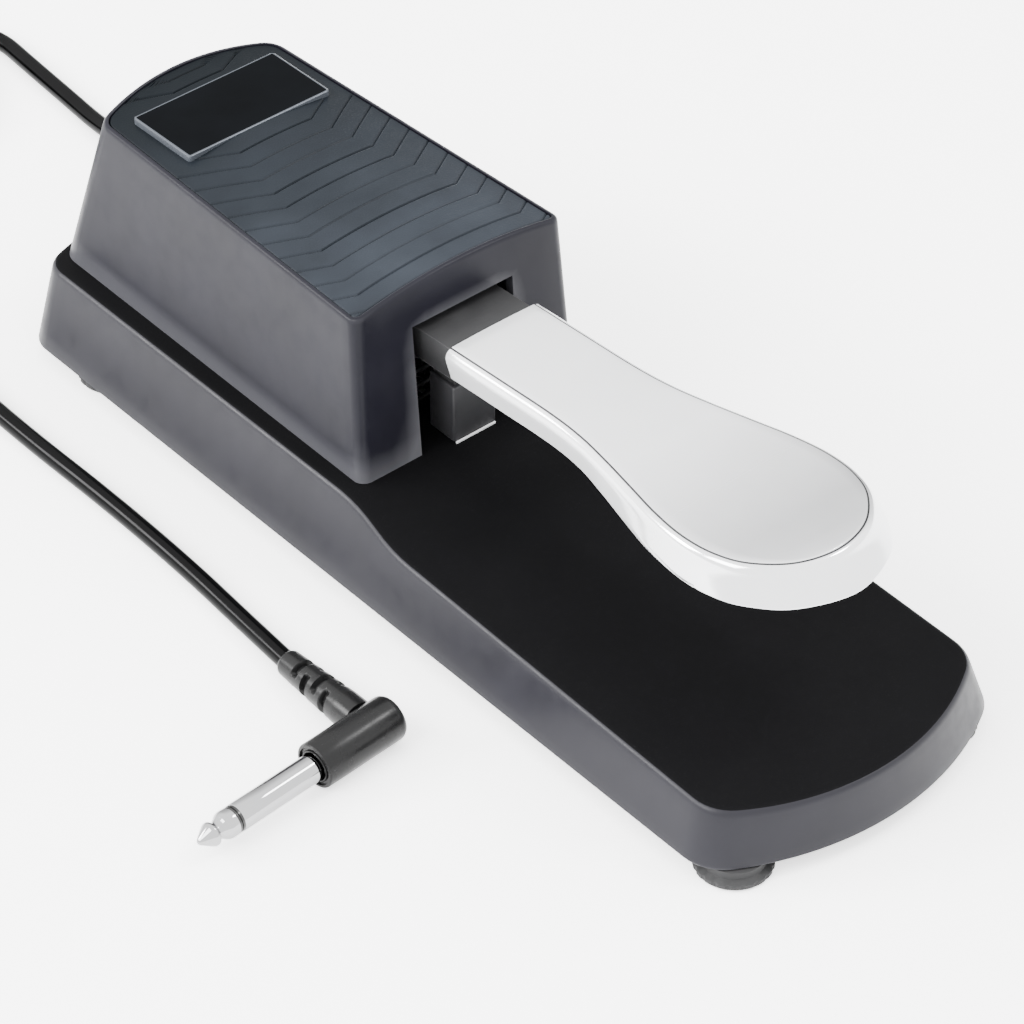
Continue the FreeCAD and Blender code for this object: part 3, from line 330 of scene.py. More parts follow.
def arc(centre, start, end, steps):
    """Points from start to end about centre, the short way round."""
    a = math.atan2(start[1] - centre[1], start[0] - centre[0])
    b = math.atan2(end[1] - centre[1], end[0] - centre[0])
    turn = (b - a + math.pi) % (2 * math.pi) - math.pi
    radius = math.dist(centre, start)
    return [(centre[0] + radius * math.cos(a + turn * k / steps),
             centre[1] + radius * math.sin(a + turn * k / steps)) for k in range(steps + 1)]


def between(start, end, steps):
    return [(start[0] + (end[0] - start[0]) * k / steps, start[1] + (end[1] - start[1]) * k / steps)
            for k in range(steps + 1)]


def corner(side_end, way, bow_centre, bow_radius, radius):
    """A round corner between a straight side and a bowed end: its centre and its two ends."""
    inward = Vector((-abs(way.y), 0.0)) + Vector((0.0, way.x if way.y > 0 else -way.x))
    reach = side_end + inward * radius - bow_centre
    b = reach.dot(way)
    along = -b - math.sqrt(b * b - reach.length_squared + (bow_radius - radius) ** 2)
    centre = side_end + way * along + inward * radius
    return centre, bow_centre + (centre - bow_centre).normalized() * bow_radius, centre - inward * radius


def half_outline(front_half, rear_half, front, rear, front_bow, rear_bow, front_radius, rear_radius,
                 steps=(14, 7, 70, 6, 12), stations=None):
    """The right half of a plan outline, from the middle of the front to the middle of the rear."""
    low, high = Vector((front_half, front + front_bow)), Vector((rear_half, rear - rear_bow))
    way = (high - low).normalized()
    front_curve = (front_half ** 2 + front_bow ** 2) / (2 * front_bow)
    rear_curve = (rear_half ** 2 + rear_bow ** 2) / (2 * rear_bow)
    front_centre, rear_centre = Vector((0, front + front_curve)), Vector((0, rear - rear_curve))
    c1, on_front, on_side = corner(low, way, front_centre, front_curve, front_radius)
    c2, on_rear, off_side = corner(high, -way, rear_centre, rear_curve, rear_radius)
    if stations:
        bow = [(x, front_centre.y - math.sqrt(front_curve ** 2 - x * x)) for x in stations] + [on_front[:]]
    else:
        bow = arc(front_centre, (0, front), on_front, steps[0])
    points = bow + arc(c1, on_front, on_side, steps[1])[1:] + between(on_side, off_side, steps[2])[1:]
    points += arc(c2, off_side, on_rear, steps[3])[1:]
    return points + arc(rear_centre, on_rear, (0, rear), steps[4])[1:]


def middle(corners):
    return [sum(c[axis] for c in corners) / len(corners) for axis in range(3)]


def ring(half):
    """The whole outline: the right half and its mirror image."""
    return half + [(-x, y) for x, y in reversed(half[1:-1])]


def inward_ways(points):
    """The direction into the outline at each of its points."""
    ways = []
    count = len(points)
    for i in range(count):
        before, after = points[i - 1], points[(i + 1) % count]
        run = Vector((after[0] - before[0], after[1] - before[1])).normalized()
        ways.append((-run.y, run.x))
    return ways


def curve_between(first, corner_point, last, steps):
    """A quadratic bend from first to last, drawn towards corner_point."""
    made = []
    for k in range(steps + 1):
        t = k / steps
        made.append(tuple((1 - t) ** 2 * a + 2 * t * (1 - t) * b + t * t * c
                          for a, b, c in zip(first, corner_point, last)))
    return made


def lathe(name, profile, origin, way, steps=56, sharp=30.0, shape=None):
    """A turned piece: profile is (radius, distance along way from origin), in millimetres."""
    turn = Vector(way).normalized().to_track_quat("Z", "Y")
    skin = Skin()
    before = None
    for radius, along in profile:
        points = []
        for k in range(steps):
            angle = 2 * math.pi * k / steps
            r = radius if shape is None else shape(radius, along, angle)
            points.append(Vector(origin) + turn @ Vector((r * math.cos(angle), r * math.sin(angle), along)))
        here = skin.row(points)
        if before:
            skin.join(before, here)
        before = here
    return skin.object(name, sharp)


# ---------------------------------------------------------------- housing

BASE_LOW, BASE_RISE, BASE_WALL = 4.0, 20.0, 2.2
LEDGE, LEDGE_END = 23.4, 12.0
BEND_MIDDLE, BEND_END = -1.5, -15.0
DECK_LEVEL, DECK_SLOPE, DECK_RADIUS = 18.9, 0.0225, 41.6
EDGE_FALL, EDGE_IN = 1.5, 1.3
WINDOW_HALF, WINDOW_FRONT, WINDOW_REAR = 19.0, 22.5, 98.5
# Lighter colour of the grey plastic's rounded edges: a painted highlight.
PLASTIC_EDGE_HIGHLIGHT = (0.05, 0.05, 0.055)


def deck(y):
    """Height of the base's top: a level ledge, an S bend down, and a nearly level front."""
    if y >= LEDGE_END:
        return LEDGE
    if y > BEND_MIDDLE:
        return LEDGE - DECK_RADIUS + math.sqrt(DECK_RADIUS ** 2 - (y - LEDGE_END) ** 2)
    if y > BEND_END:
        return DECK_LEVEL + DECK_RADIUS - math.sqrt(DECK_RADIUS ** 2 - (y - BEND_END) ** 2)
    return DECK_LEVEL + (y - BEND_END) * DECK_SLOPE


def ribs(skin, edge, height, shares, zone=0, keep=None):
    """Close a mirrored ring with rows straight across it; height gives each point's level."""
    half = len(edge) // 2 + 1
    before = None
    for k in range(half):
        w, y, end = skin.points[edge[k]]
        here = skin.row([(w * s, y, end if abs(s) == 1 else height(w * s, y)) for s in shares])
        if before:
            skin.join(before, here, closed=False, zone=zone, keep=keep)
        before = here


def make_base():
    """The hollow base: zone 0 is its side and zone 1 its matt top, open under the tower."""
    low = ring(half_outline(41, 41, -125, 125, 13, 6.8, 11, 8))
    high = ring(half_outline(35, 35, -121, 124.4, 13, 6.8, 10, 7.4))
    ways = inward_ways(low)

    def wall(i, z, inset=0.0):
        t = (z - BASE_LOW) / BASE_RISE
        return (low[i][0] + (high[i][0] - low[i][0]) * t + ways[i][0] * inset,
                low[i][1] + (high[i][1] - low[i][1]) * t + ways[i][1] * inset, z)

    count = range(len(low))
    tops = []
    for i in count:
        z = deck(wall(i, 20.0)[1])
        z = deck(wall(i, z)[1])
        tops.append(z)
    skin = Skin()
    foot = BASE_LOW + 0.7
    rows = [[wall(i, BASE_LOW, 2.3) for i in count], [wall(i, BASE_LOW, 0.7) for i in count]]
    bends = [curve_between(wall(i, BASE_LOW, 0.7), wall(i, BASE_LOW), wall(i, foot), 3) for i in count]
    rows += [[bend[k] for bend in bends] for k in (1, 2, 3)]
    rows += [[wall(i, foot + (tops[i] - EDGE_FALL - foot) * k / 5) for i in count] for k in range(1, 6)]
    edges = []
    for i in count:
        inner = wall(i, tops[i], EDGE_IN)
        edges.append(curve_between(wall(i, tops[i] - EDGE_FALL), wall(i, tops[i]),
                                   (*inner[:2], deck(inner[1])), 6))
    rows += [[edge[k] for edge in edges] for k in range(1, 7)]
    laid = [skin.row(row) for row in rows]
    for k, (first, second) in enumerate(zip(laid, laid[1:])):
        skin.join(first, second, zone=1 if k >= len(laid) - 3 else 0)
    shares = [-1, -0.97, -0.85, -0.7, -0.565, -0.4, -0.2, 0, 0.2, 0.4, 0.565, 0.7, 0.85, 0.97, 1]

    def outside_window(corners):
        x, y, _ = middle(corners)
        return not (abs(x) < WINDOW_HALF and WINDOW_FRONT < y < WINDOW_REAR)

    ribs(skin, laid[-1], lambda x, y: deck(y), shares, zone=1, keep=outside_window)
    base = skin.object("base_visual", 40.0)
    # The side's rounded edges are lightened by pointiness as a painted highlight.
    paint(base,
          finish("base_moulded", (0.0068, 0.0066, 0.0092), 0.36, spec=0.15, grain=(2600, 0.03),
                 wear_and_highlight=PLASTIC_EDGE_HIGHLIGHT),
          finish("deck_matt", (0.0026, 0.0026, 0.0029), 0.6, spec=0.024, grain=(2200, 0.22),
                 mottle=0.08, spread=0.03))
    belong(thicken(base, BASE_WALL), "housing", "base_grey", "base_shell")


TOWER_LOW, TOWER_RISE, TOWER_WALL = 23.4, 48.6, 2.4
TOWER_FRONT, TOP_HEIGHT, TOP_SLOPE = 8.4, 68.0, 0.0227
CROWN = 137.0
SLOT_HALF, SLOT_TOP, SLOT_DEEP = 14.0, 57.0, 30.0
SLOT_STATIONS = 4
LEVELS_TO_SLOT = (23.4, 30, 38, 46, 52, SLOT_TOP)
CEILING = 59.0
RECESS = 2.3


def slope(y):
    """How far the tower's top has fallen at y since its front."""
    return TOP_SLOPE * (y - TOWER_FRONT)


def crown(x, y):
    return TOP_HEIGHT - slope(y) - (CROWN - math.sqrt(CROWN ** 2 - x * x))


def tower_rings():
    """The outlines at the tower's foot and at TOWER_LOW + TOWER_RISE, and the ways inwards.

    The slot's side falls on station SLOT_STATIONS."""
    stations = [0, 3.5, 7, 10.5, SLOT_HALF, 18, 22]
    steps = (6, 6, 40, 7, 12)
    low = half_outline(30.8, 30.0, TOWER_FRONT, 123.0, 0.02, 5.3, 2.8, 5.5, steps, stations)
    high = half_outline(28.7, 23.9, 12.15, 110.2, 0.02, 5.3, 2.8, 5.5, steps, stations)
    return ring(low), ring(high), inward_ways(ring(low))


def tower_wall(i, z, inset, low, high, ways):
    t = (z - TOWER_LOW) / TOWER_RISE
    return (low[i][0] + (high[i][0] - low[i][0]) * t + ways[i][0] * inset,
            low[i][1] + (high[i][1] - low[i][1]) * t + ways[i][1] * inset, z)


def rim_width(way):
    """The rim is wider along the front, where the lever comes out."""
    return 0.95 + 0.25 * max(0.0, way[1]) ** 2


def make_tower():
    """The tower's outer skin, its rim and recess, and an inner skin laid around the slot."""
    shape = tower_rings()
    count = range(len(shape[0]))
    ways = shape[2]
    tops = []
    for i in count:
        z = 65.0
        for _ in range(4):
            z = crown(*tower_wall(i, z, 0, *shape)[:2])
        tops.append(z)

    def on_crown(i, inset, drop):
        x, y, _ = tower_wall(i, tops[i], inset, *shape)
        return x, y, crown(x, y) - drop

    skin = Skin()
    rows = [[tower_wall(i, z, 0, *shape) for i in count] for z in (*LEVELS_TO_SLOT, 60)]
    bends = [curve_between(tower_wall(i, tops[i] - 1.1, 0, *shape), tower_wall(i, tops[i], 0, *shape),
                           on_crown(i, 0.9, 0), 5) for i in count]
    rows += [[bend[k] for bend in bends] for k in range(6)]
    for further, drop in ((0.0, 0.0), (0.15, 0.12), (0.25, RECESS - 0.1), (1.6, RECESS)):
        rows.append([on_crown(i, rim_width(ways[i]) + further, drop) for i in count])

    def outside_slot(corners):
        x, y, z = middle(corners)
        return not (abs(x) < SLOT_HALF and y < SLOT_DEEP and z < SLOT_TOP)

    laid = [skin.row(row) for row in rows]
    for first, second in zip(laid, laid[1:]):
        skin.join(first, second, keep=outside_slot)
    ribs(skin, laid[-1], lambda x, y: crown(x, y) - RECESS, [-1, -0.6, -0.3, 0, 0.3, 0.6, 1])
    inside = [skin.row([tower_wall(i, z, TOWER_WALL, *shape) for i in count])
              for z in (*LEVELS_TO_SLOT, CEILING)]
    for first, second in zip(inside, inside[1:]):
        skin.join(first, second, keep=outside_slot)
    ribs(skin, inside[-1], lambda x, y: CEILING, [-1, 0, 1])
    # The foot's edge, then the slot's top edge, then its two jambs.
    last = len(count)
    top = len(LEVELS_TO_SLOT) - 1
    left, right = last - SLOT_STATIONS, SLOT_STATIONS
    around = list(range(right, left + 1))
    opening = list(range(left, last)) + list(range(right + 1))
    skin.join([laid[0][i] for i in around], [inside[0][i] for i in around], closed=False)
    skin.join([laid[top][i] for i in opening], [inside[top][i] for i in opening], closed=False)
    for i in (right, left):
        skin.join([row[i] for row in laid[:top + 1]], [row[i] for row in inside[:top + 1]], closed=False)
    tower = skin.object("tower_visual", 40.0)
    # The tower's rounded edges are lightened by pointiness as a painted highlight.
    paint(tower, finish("tower_moulded", (0.0056, 0.0055, 0.0082), 0.34, spec=0.08, grain=(2600, 0.03),
                        wear_and_highlight=PLASTIC_EDGE_HIGHLIGHT))
    belong(tower, "housing", "tower_grey", "tower_housing")
    make_insert(shape, tops)


GROOVE_DEPTH, GROOVE_HALF, GROOVE_FLOOR = 0.45, 0.32, 0.06
ROW_STEP, COLUMNS = 0.26, 200
INSERT_SINK, INSERT_EDGE, INSERT_SKIRT = 0.32, 0.35, 2.1


def groove_lines():
    """The crown's pressed chevrons, each a bent line from edge to edge."""
    lines = []
    for i in range(11):
        bend, edge = 11.3 + 1.25 * i, 24.4 + 0.3 * i
        back, mid = 78.5 - 6.32 * i, 69.4 - 5.65 * i
        lines.append([(-edge, back), (-bend, mid), (bend, mid), (edge, back)])
    lines.append([(-17.4, 80.0), (-10, 75.05), (10, 75.05), (17.4, 80.0)])
    lines.append([(-16.5, 108.6), (-7, 103.4), (7, 103.4), (16.5, 108.6)])
    lines.append([(-9.5, 110.2), (-5, 107.6), (5, 107.6), (9.5, 110.2)])
    return lines


def groove_depth(x, y, lines):
    near = 9.0
    for line in lines:
        for (ax, ay), (bx, by) in zip(line, line[1:]):
            if min(ay, by) - 0.7 < y < max(ay, by) + 0.7:
                dx, dy = bx - ax, by - ay
                t = min(max(((x - ax) * dx + (y - ay) * dy) / (dx * dx + dy * dy), 0.0), 1.0)
                near = min(near, math.hypot(x - ax - dx * t, y - ay - dy * t))
    t = min(max((near - GROOVE_FLOOR) / (GROOVE_HALF - GROOVE_FLOOR), 0.0), 1.0)
    return GROOVE_DEPTH * (1 - t * t * (3 - 2 * t))


def make_insert(shape, tops):
    """The grained panel in the tower's recess, with its grooves modelled row by row."""
    half = len(shape[0]) // 2 + 1
    edge = []
    for i in range(half):
        inset = rim_width(shape[2][i]) + INSERT_EDGE
        edge.append(tower_wall(i, tops[i], inset, *shape)[:2])
    front, rear = edge[0][1], edge[-1][1]

    def reach(y):
        for (ax, ay), (bx, by) in zip(edge, edge[1:]):
            if ay < y <= by and by - ay > 1e-6:
                return ax + (bx - ax) * (y - ay) / (by - ay)
        return edge[-1][0]

    lines = groove_lines()
    skin = Skin()
    stops = [front + past for past in (0.004, 0.15, INSERT_EDGE)]
    stops += [front + INSERT_EDGE + ROW_STEP * k for k in range(1, int((rear - front - 3.0) / ROW_STEP))]
    stops += [rear - short for short in (2.6, 2.2, 1.7, 1.2, 0.8, 0.5, 0.25, 0.1)]
    before = None
    for y in stops:
        w = max(reach(y), 0.3)
        gap = min(y - front, rear - y)
        points = [(-w, y, crown(w, y) - INSERT_SKIRT)]
        for k in range(COLUMNS + 1):
            x = -w + 2 * w * k / COLUMNS
            rim = min(w - abs(x), gap)
            drop = INSERT_SINK + INSERT_EDGE * max(0.0, 1 - rim / INSERT_EDGE) ** 2
            points.append((x, y, crown(x, y) - drop - groove_depth(x, y, lines)))
        points.append((w, y, crown(w, y) - INSERT_SKIRT))
        here = skin.row(points)
        if before is None:
            skirt = skin.row([(p[0], front, min(p[2], crown(p[0], y) - INSERT_SKIRT)) for p in points])
            skin.join(skirt, here, closed=False)
        else:
            skin.join(before, here, closed=False)
        before = here
    insert = skin.object("insert_visual", 50.0)
    # Painted shade: the panel's colour darkens towards its rear.
    paint(insert, finish("insert_grained", (0.0125, 0.0150, 0.0190), 0.40, spec=0.06, grain=(2400, 0.5),
                         mottle=0.2, spread=0.08, painted_shade_y=(0.02, 0.11, (0.001, 0.002, 0.003))))
    belong(insert, "housing", "insert_black", "top_insert")


PLATE_HEIGHT = 67.78


def rounded_box(name, half_x, low_y, high_y, radius, levels, steps=6, sides=0):
    """A plate with round corners; levels is (height, inset) bottom to top, sides the sides' zone."""
    skin = Skin()
    laid = []
    for height, inset in levels:
        points = []
        r = max(radius - inset, 0.05)
        for sx, sy, start in ((1, 1, 0), (-1, 1, 90), (-1, -1, 180), (1, -1, 270)):
            cx = sx * (half_x - radius)
            cy = high_y - radius if sy > 0 else low_y + radius
            for k in range(steps + 1):
                angle = math.radians(start + 90 * k / steps)
                x, y = cx + r * math.cos(angle), cy + r * math.sin(angle)
                points.append((x, y, height(y) if callable(height) else height))
        laid.append(skin.row(points))
    for first, second in zip(laid, laid[1:]):
        skin.join(first, second, zone=sides)
    skin.faces += [tuple(laid[0]), tuple(laid[-1])]
    skin.zones += [sides, 0]
    return skin.object(name, 28.0)


def make_nameplate():
    """The blank gloss panel, a little proud of the insert, with a paler edge that is painted reflection."""
    def level(drop):
        return lambda y: PLATE_HEIGHT - slope(y) - drop

    levels = [(level(drop), inset) for drop, inset in
              ((2.7, 0.0), (0.3, 0.0), (0.1, 0.06), (0.0, 0.22), (0.0, 0.5))]
    plate = rounded_box("nameplate_visual", 19.8, 80.5, 101.3, 0.9, levels, sides=1)
    paint(plate, finish("name_gloss", (0.0010, 0.0013, 0.0018), 0.14, spec=0.02, grain=(900, 0.02),
                        mottle=0.3, spread=0.05),
          # Painted reflection: the paler bluish colour of the plate's edge.
          finish("name_edge_painted_reflection", (0.05, 0.056, 0.066), 0.35, metal=0.5, spec=0.3, grain=(1800, 0.1)))
    belong(plate, "housing", "name_gloss", "nameplate")


# ---------------------------------------------------------------- lever

PIVOT = Vector((0.0, 80.0, 42.7))
SPOON_BACK = -79.8
SPOON_CROWN = 0.22
LEVER_TURN = Matrix.Rotation(math.radians(-3.72), 3, "X")
# (Half width, distance along the lever) of the spoon's top edge, and then of its lower edge.
CREASE = [(11.7, 0), (11.7, 16), (11.8, 32), (12.6, 42.6), (14.4, 52.6), (16.6, 62.6), (18.8, 72.6),
          (19.9, 81.8), (19.2, 90.2), (16.2, 97.4), (9.3, 103.8), (0, 106.2)]
HEM = [(12.2, 0), (12.2, 16), (12.3, 32), (13.4, 42.6), (15.9, 52.6), (18.8, 62.6), (21.5, 72.6),
       (23.1, 83.5), (22.6, 92.0), (19.9, 99.6), (12.8, 107.6), (0, 112.0)]


def smooth_half(points, steps=8):
    """A smooth line through the given half outline, carried across the middle at the toe."""
    whole = [(points[0][0], points[0][1] - 16)] + points + [(-points[-2][0], points[-2][1])]
    made = []
    for stretch in zip(whole, whole[1:], whole[2:], whole[3:]):
        for k in range(steps):
            t = k / steps
            made.append(tuple(
                0.5 * (2 * b + (c - a) * t + (2 * a - 5 * b + 4 * c - d) * t * t
                       + (3 * b - a - 3 * c + d) * t ** 3) for a, b, c, d in zip(*stretch)))
    return made + [(0.0, points[-1][1])]


def make_spoon():
    """The chrome spoon: its top, the crease around it darkened as painted shade (zone 1), its skirt and its
    hollow.
    """
    crease, hem = smooth_half(CREASE), smooth_half(HEM)
    outward = []
    for i in range(len(crease)):
        before = crease[max(i - 1, 0)]
        after = crease[i + 1] if i + 1 < len(crease) else (-crease[i - 1][0], crease[i - 1][1])
        run = Vector((after[0] - before[0], after[1] - before[1])).normalized()
        outward.append(Vector((1.0, 0.0)) if i == 0 else Vector((run.y, -run.x)))

    def level(line, push, z, least=0.0):
        """The line pushed outwards and mirrored, at height z, starting at least that far along."""
        half = []
        for point, way in zip(line, outward):
            place = Vector(point) + way * push
            half.append((place.x, SPOON_BACK - max(place.y, least), z))
        whole = half + [(-x, y, z) for x, y, z in reversed(half[:-1])]
        return [PIVOT + LEVER_TURN @ Vector(p) for p in whole]

    skin = Skin()
    rows = [level(crease, push, z) for push, z in (
        (-0.42, 8.48), (-0.2, 8.42), (-0.06, 8.2), (0.06, 8.18), (0.22, 8.27), (0.5, 8.22),
        (0.85, 8.02), (1.2, 7.65), (1.48, 7.15), (1.66, 6.5))]
    for k in range(1, 6):
        t = k / 6
        line = [((a[0] + n.x * 1.7) * (1 - t) + b[0] * t, (a[1] + n.y * 1.7) * (1 - t) + b[1] * t)
                for a, b, n in zip(crease, hem, outward)]
        line[-1] = (0.0, line[-1][1])
        rows.append(level(line, 0.0, 6.2 - 5.2 * t))
    rows += [level(hem, push, z) for push, z in (
        (0.0, 0.95), (-0.06, 0.68), (-0.3, 0.52), (-1.2, 0.52), (-1.5, 0.8))]
    rows += [level(crease, push, z, least) for push, z, least in (
        (0.2, 4.6, 1.2), (-0.6, 6.1, 1.4), (-2.0, 6.7, 1.6))]
    laid = [skin.row(row) for row in rows]
    for k, (first, second) in enumerate(zip(laid, laid[1:])):
        # Zone 1 is the crease, darkened as painted shade.
        skin.join(first, second, zone=1 if k in (1, 2, 3) else 0)
    count = len(crease)
    for edge, crowned in ((laid[0], SPOON_CROWN), (laid[-1], 0.0)):
        before = None
        for k in range(count):
            left = Vector(skin.points[edge[k]])
            right = Vector(skin.points[edge[-1 - k]])
            lift = crowned * min(1.0, (left - right).length / 24.0)
            points = []
            for s in (0, 0.06, 0.15, 0.3, 0.5, 0.7, 0.85, 0.94, 1):
                point = left.lerp(right, s)
                point.z += lift * (1 - (2 * s - 1) ** 2)
                points.append(point)
            here = skin.row(points)
            if before:
                skin.join(before, here, closed=False)
            before = here
    spoon = skin.object("pedal_cap_visual", 30.0)
    # Painted shading: the chrome is less metallic towards the neck, to change how bright it looks there.
    paint(spoon, finish("cap_chrome", (0.65, 0.655, 0.665), 0.15, metal=1.0, spec=0.3, grain=(500, 0.012),
                        mottle=0.02, spread=0.04, painted_shading_metal_y=(-0.092, -0.055, 0.45)),
          # Painted shade: the crease's dark colour.
          finish("cap_crease_painted_shade", (0.03, 0.03, 0.032), 0.35, metal=0.8, grain=(900, 0.1)))
    belong(spoon, "pedal", "cap_chrome", "pedal_cap")


# ---------------------------------------------------------------- plug and cord

ELBOW = Vector((-65.4, -36.6, 5.3))
HANDLE_RADIUS, SHAFT_RADIUS, BOOT_RADIUS, BOOT_LENGTH = 5.25, 3.175, 4.1, 29.5
# (Distance from the elbow, turn in degrees) of each pair of cross slots in the boot.
BOOT_SLOTS = [(12.6, 0.0), (16.2, 90.0), (19.8, 0.0), (23.4, 90.0)]
PLUG_TURN = math.radians(4.0)
PLUG_WAY = Vector((-math.cos(PLUG_TURN), -math.sin(PLUG_TURN), 0.0))


def flexed(radius, along, angle):
    """The boot's radius, less where a pair of slots cuts in."""
    for place, turned in BOOT_SLOTS:
        across = abs(math.cos(angle - math.radians(turned)))
        reach = min(max((across - 0.42) / 0.16, 0.0), 1.0)
        width = min(max((0.95 - abs(along - place)) / 0.25, 0.0), 1.0)
        radius -= 1.15 * reach * width
    return radius


def make_plug():
    """The right-angle plug: four pieces turned about its shaft, and the boot about the cord."""
    grey = finish("plug_grey", (0.0045, 0.0045, 0.0046), 0.26, spec=0.13, grain=(1800, 0.10), mottle=0.15)
    chrome = finish("plug_chrome", (0.28, 0.28, 0.285), 0.07, metal=1.0, grain=(600, 0.01),
                    mottle=0.03, spread=0.03)
    black = finish("plug_ring", (0.006, 0.006, 0.006), 0.22, spec=0.4, grain=(1500, 0.05))
    r, s = HANDLE_RADIUS, SHAFT_RADIUS
    turned = [
        ("plug_handle", grey, "plug_grey", [
            (0.01, -6.2), (r - 1.6, -6.2), (r - 1.2, -6.12), (r - 0.55, -5.75), (r - 0.12, -5.1),
            (r, -4.5), (r, 0.0), (r, 8.0), (r, 15.7), (r - 0.08, 15.98), (r - 0.28, 16.16),
            (r - 0.5, 16.2), (4.45, 16.2), (4.4, 16.05), (4.3, 15.7), (3.75, 15.7), (3.7, 16.0),
            (3.6, 16.15), (3.35, 16.15), (3.3, 15.9), (3.3, 14.4), (0.01, 14.4)]),
        ("plug_sleeve", chrome, "plug_chrome", [
            (0.01, 14.3), (2.7, 14.3), (2.7, 17.2), (s - 0.1, 17.25), (s, 17.4), (s, 24.0), (s, 31.0),
            (s, 37.6), (s - 0.06, 37.75), (s - 0.16, 37.8), (0.01, 37.8)]),
        ("plug_insulator", black, "plug_ring", [
            (0.01, 37.8), (s - 0.12, 37.8), (s - 0.1, 38.0), (s - 0.1, 38.3), (s - 0.35, 38.35),
            (s - 0.35, 38.5), (s - 0.1, 38.55), (s - 0.1, 38.9), (s - 0.12, 39.0), (0.01, 39.0)]),
        ("plug_tip", chrome, "plug_chrome", [
            (0.01, 39.0), (s - 0.14, 39.0), (s - 0.02, 39.12), (s, 39.3), (s, 40.7), (s - 0.1, 41.2),
            (2.75, 41.8), (2.15, 42.7), (1.98, 43.1), (1.95, 43.35), (2.05, 43.6), (2.5, 43.95),
            (2.68, 44.15), (2.76, 44.5), (2.72, 44.8), (2.5, 45.25), (1.7, 46.45), (0.9, 47.6),
            (0.5, 48.05), (0.25, 48.18), (0.01, 48.2)]),
    ]
    for node, material, slot, profile in turned:
        piece = lathe(node + "_visual", profile, ELBOW, PLUG_WAY, 72)
        paint(piece, material)
        belong(piece, "housing", slot, node)

    collar, narrowing, step = 5.0, 9.0, 0.25
    profile = [(2.2, 4.2), (BOOT_RADIUS, 4.2)]
    for k in range(int((BOOT_LENGTH - 5.2) / step)):
        along = collar + k * step
        past = max(along - narrowing, 0.0)
        profile.append((BOOT_RADIUS - past / (BOOT_LENGTH - 9.4), along))
    profile += [(radius, BOOT_LENGTH - short) for radius, short in
                ((3.06, 0.35), (2.95, 0.1), (2.7, 0.0), (2.2, 0.0))]
    boot = lathe("plug_boot_visual", profile, ELBOW, Vector(CORD_IN[-1]) - ELBOW, 64, sharp=50.0,
                 shape=flexed)
    paint(boot, grey)
    belong(boot, "housing", "plug_grey", "plug_boot")


CORD_RADIUS = 2.25
CORD_OUT = [
    (19.0, 123.3, 11.0), (21.68, 140.59, 11.0), (22.6, 158.5, 5.4), (23.3, 176.5, 2.3), (24.5, 192.5, 2.3),
    (25.6, 209.5, 2.3), (27.0, 227.4, 2.3), (15.0, 248.0, 2.3), (-5.9, 260.0, 2.3),
]
CORD_IN = [
    (-53.9, 207.0, 6.6), (-56.6, 186.0, 3.1), (-59.8, 158.0, 2.3), (-60.5, 125.0, 2.3), (-61.4, 92.0, 2.3),
    (-60.7, 60.0, 2.3), (-61.3, 31.0, 2.3), (-62.9, 9.0, 2.5), (-64.3, -8.0, 3.2),
]
COIL_CENTRE = (-22.0, 228.0)
# (Radius, height) of each turn, lower layer first.
COIL_TURNS = [(31.5, 2.3), (27.0, 2.3), (22.5, 2.3), (22.5, 6.8), (27.0, 6.8), (31.5, 6.8)]
COIL_START, COIL_EXTRA, COIL_STEPS = 107, 61, 14
TURN_CHANGE = 0.28


def coil_turns():
    """Control points of the put-away turns, outside ring to inside and back out on top."""
    points = []
    total = len(COIL_TURNS) * 2 * math.pi + math.radians(COIL_EXTRA)
    count = int(COIL_STEPS * total / (2 * math.pi))
    # The curve runs inside its control points, so they stand a little further out.
    swell = 1.0 / math.cos(math.pi / COIL_STEPS) ** 0.5
    for i in range(count + 1):
        along = total * i / count
        angle = math.radians(COIL_START) + along
        turn = along / (2 * math.pi)
        low = min(int(turn), len(COIL_TURNS) - 1)
        high = min(low + 1, len(COIL_TURNS) - 1)
        share = min(max((turn - low - (1 - TURN_CHANGE)) / TURN_CHANGE, 0.0), 1.0)
        share = share * share * (3 - 2 * share)
        radius, height = (a + (b - a) * share for a, b in zip(COIL_TURNS[low], COIL_TURNS[high]))
        points.append((COIL_CENTRE[0] + radius * swell * math.cos(angle),
                       COIL_CENTRE[1] + radius * swell * math.sin(angle), height))
    return points


def make_cord():
    """The whole cord as one open curve, from the gland by way of the coil to the plug's boot."""
    route = CORD_OUT + coil_turns() + CORD_IN
    curve = bpy.data.curves.new("cord", "CURVE")
    curve.dimensions = "3D"
    spline = curve.splines.new("NURBS")
    spline.points.add(len(route) - 1)
    for point, place in zip(spline.points, route):
        point.co = (*(Vector(place) * MM), 1.0)
    spline.order_u = 3
    spline.use_endpoint_u = True
    spline.resolution_u = 8
    curve.bevel_depth = CORD_RADIUS * MM
    curve.bevel_resolution = 6
    curve.use_fill_caps = True
    cord = bpy.data.objects.new("cord", curve)
    bpy.context.collection.objects.link(cord)
    cord.data.materials.append(finish("cord_rubber", (0.0008, 0.0008, 0.0009), 0.14, spec=0.05,
                                      grain=(1400, 0.08), mottle=0.2, spread=0.07))
    belong(cord, "housing", "cord_black", "cord_out", "cord_coil", "cord_in")


# ---------------------------------------------------------------- small parts and hidden parts

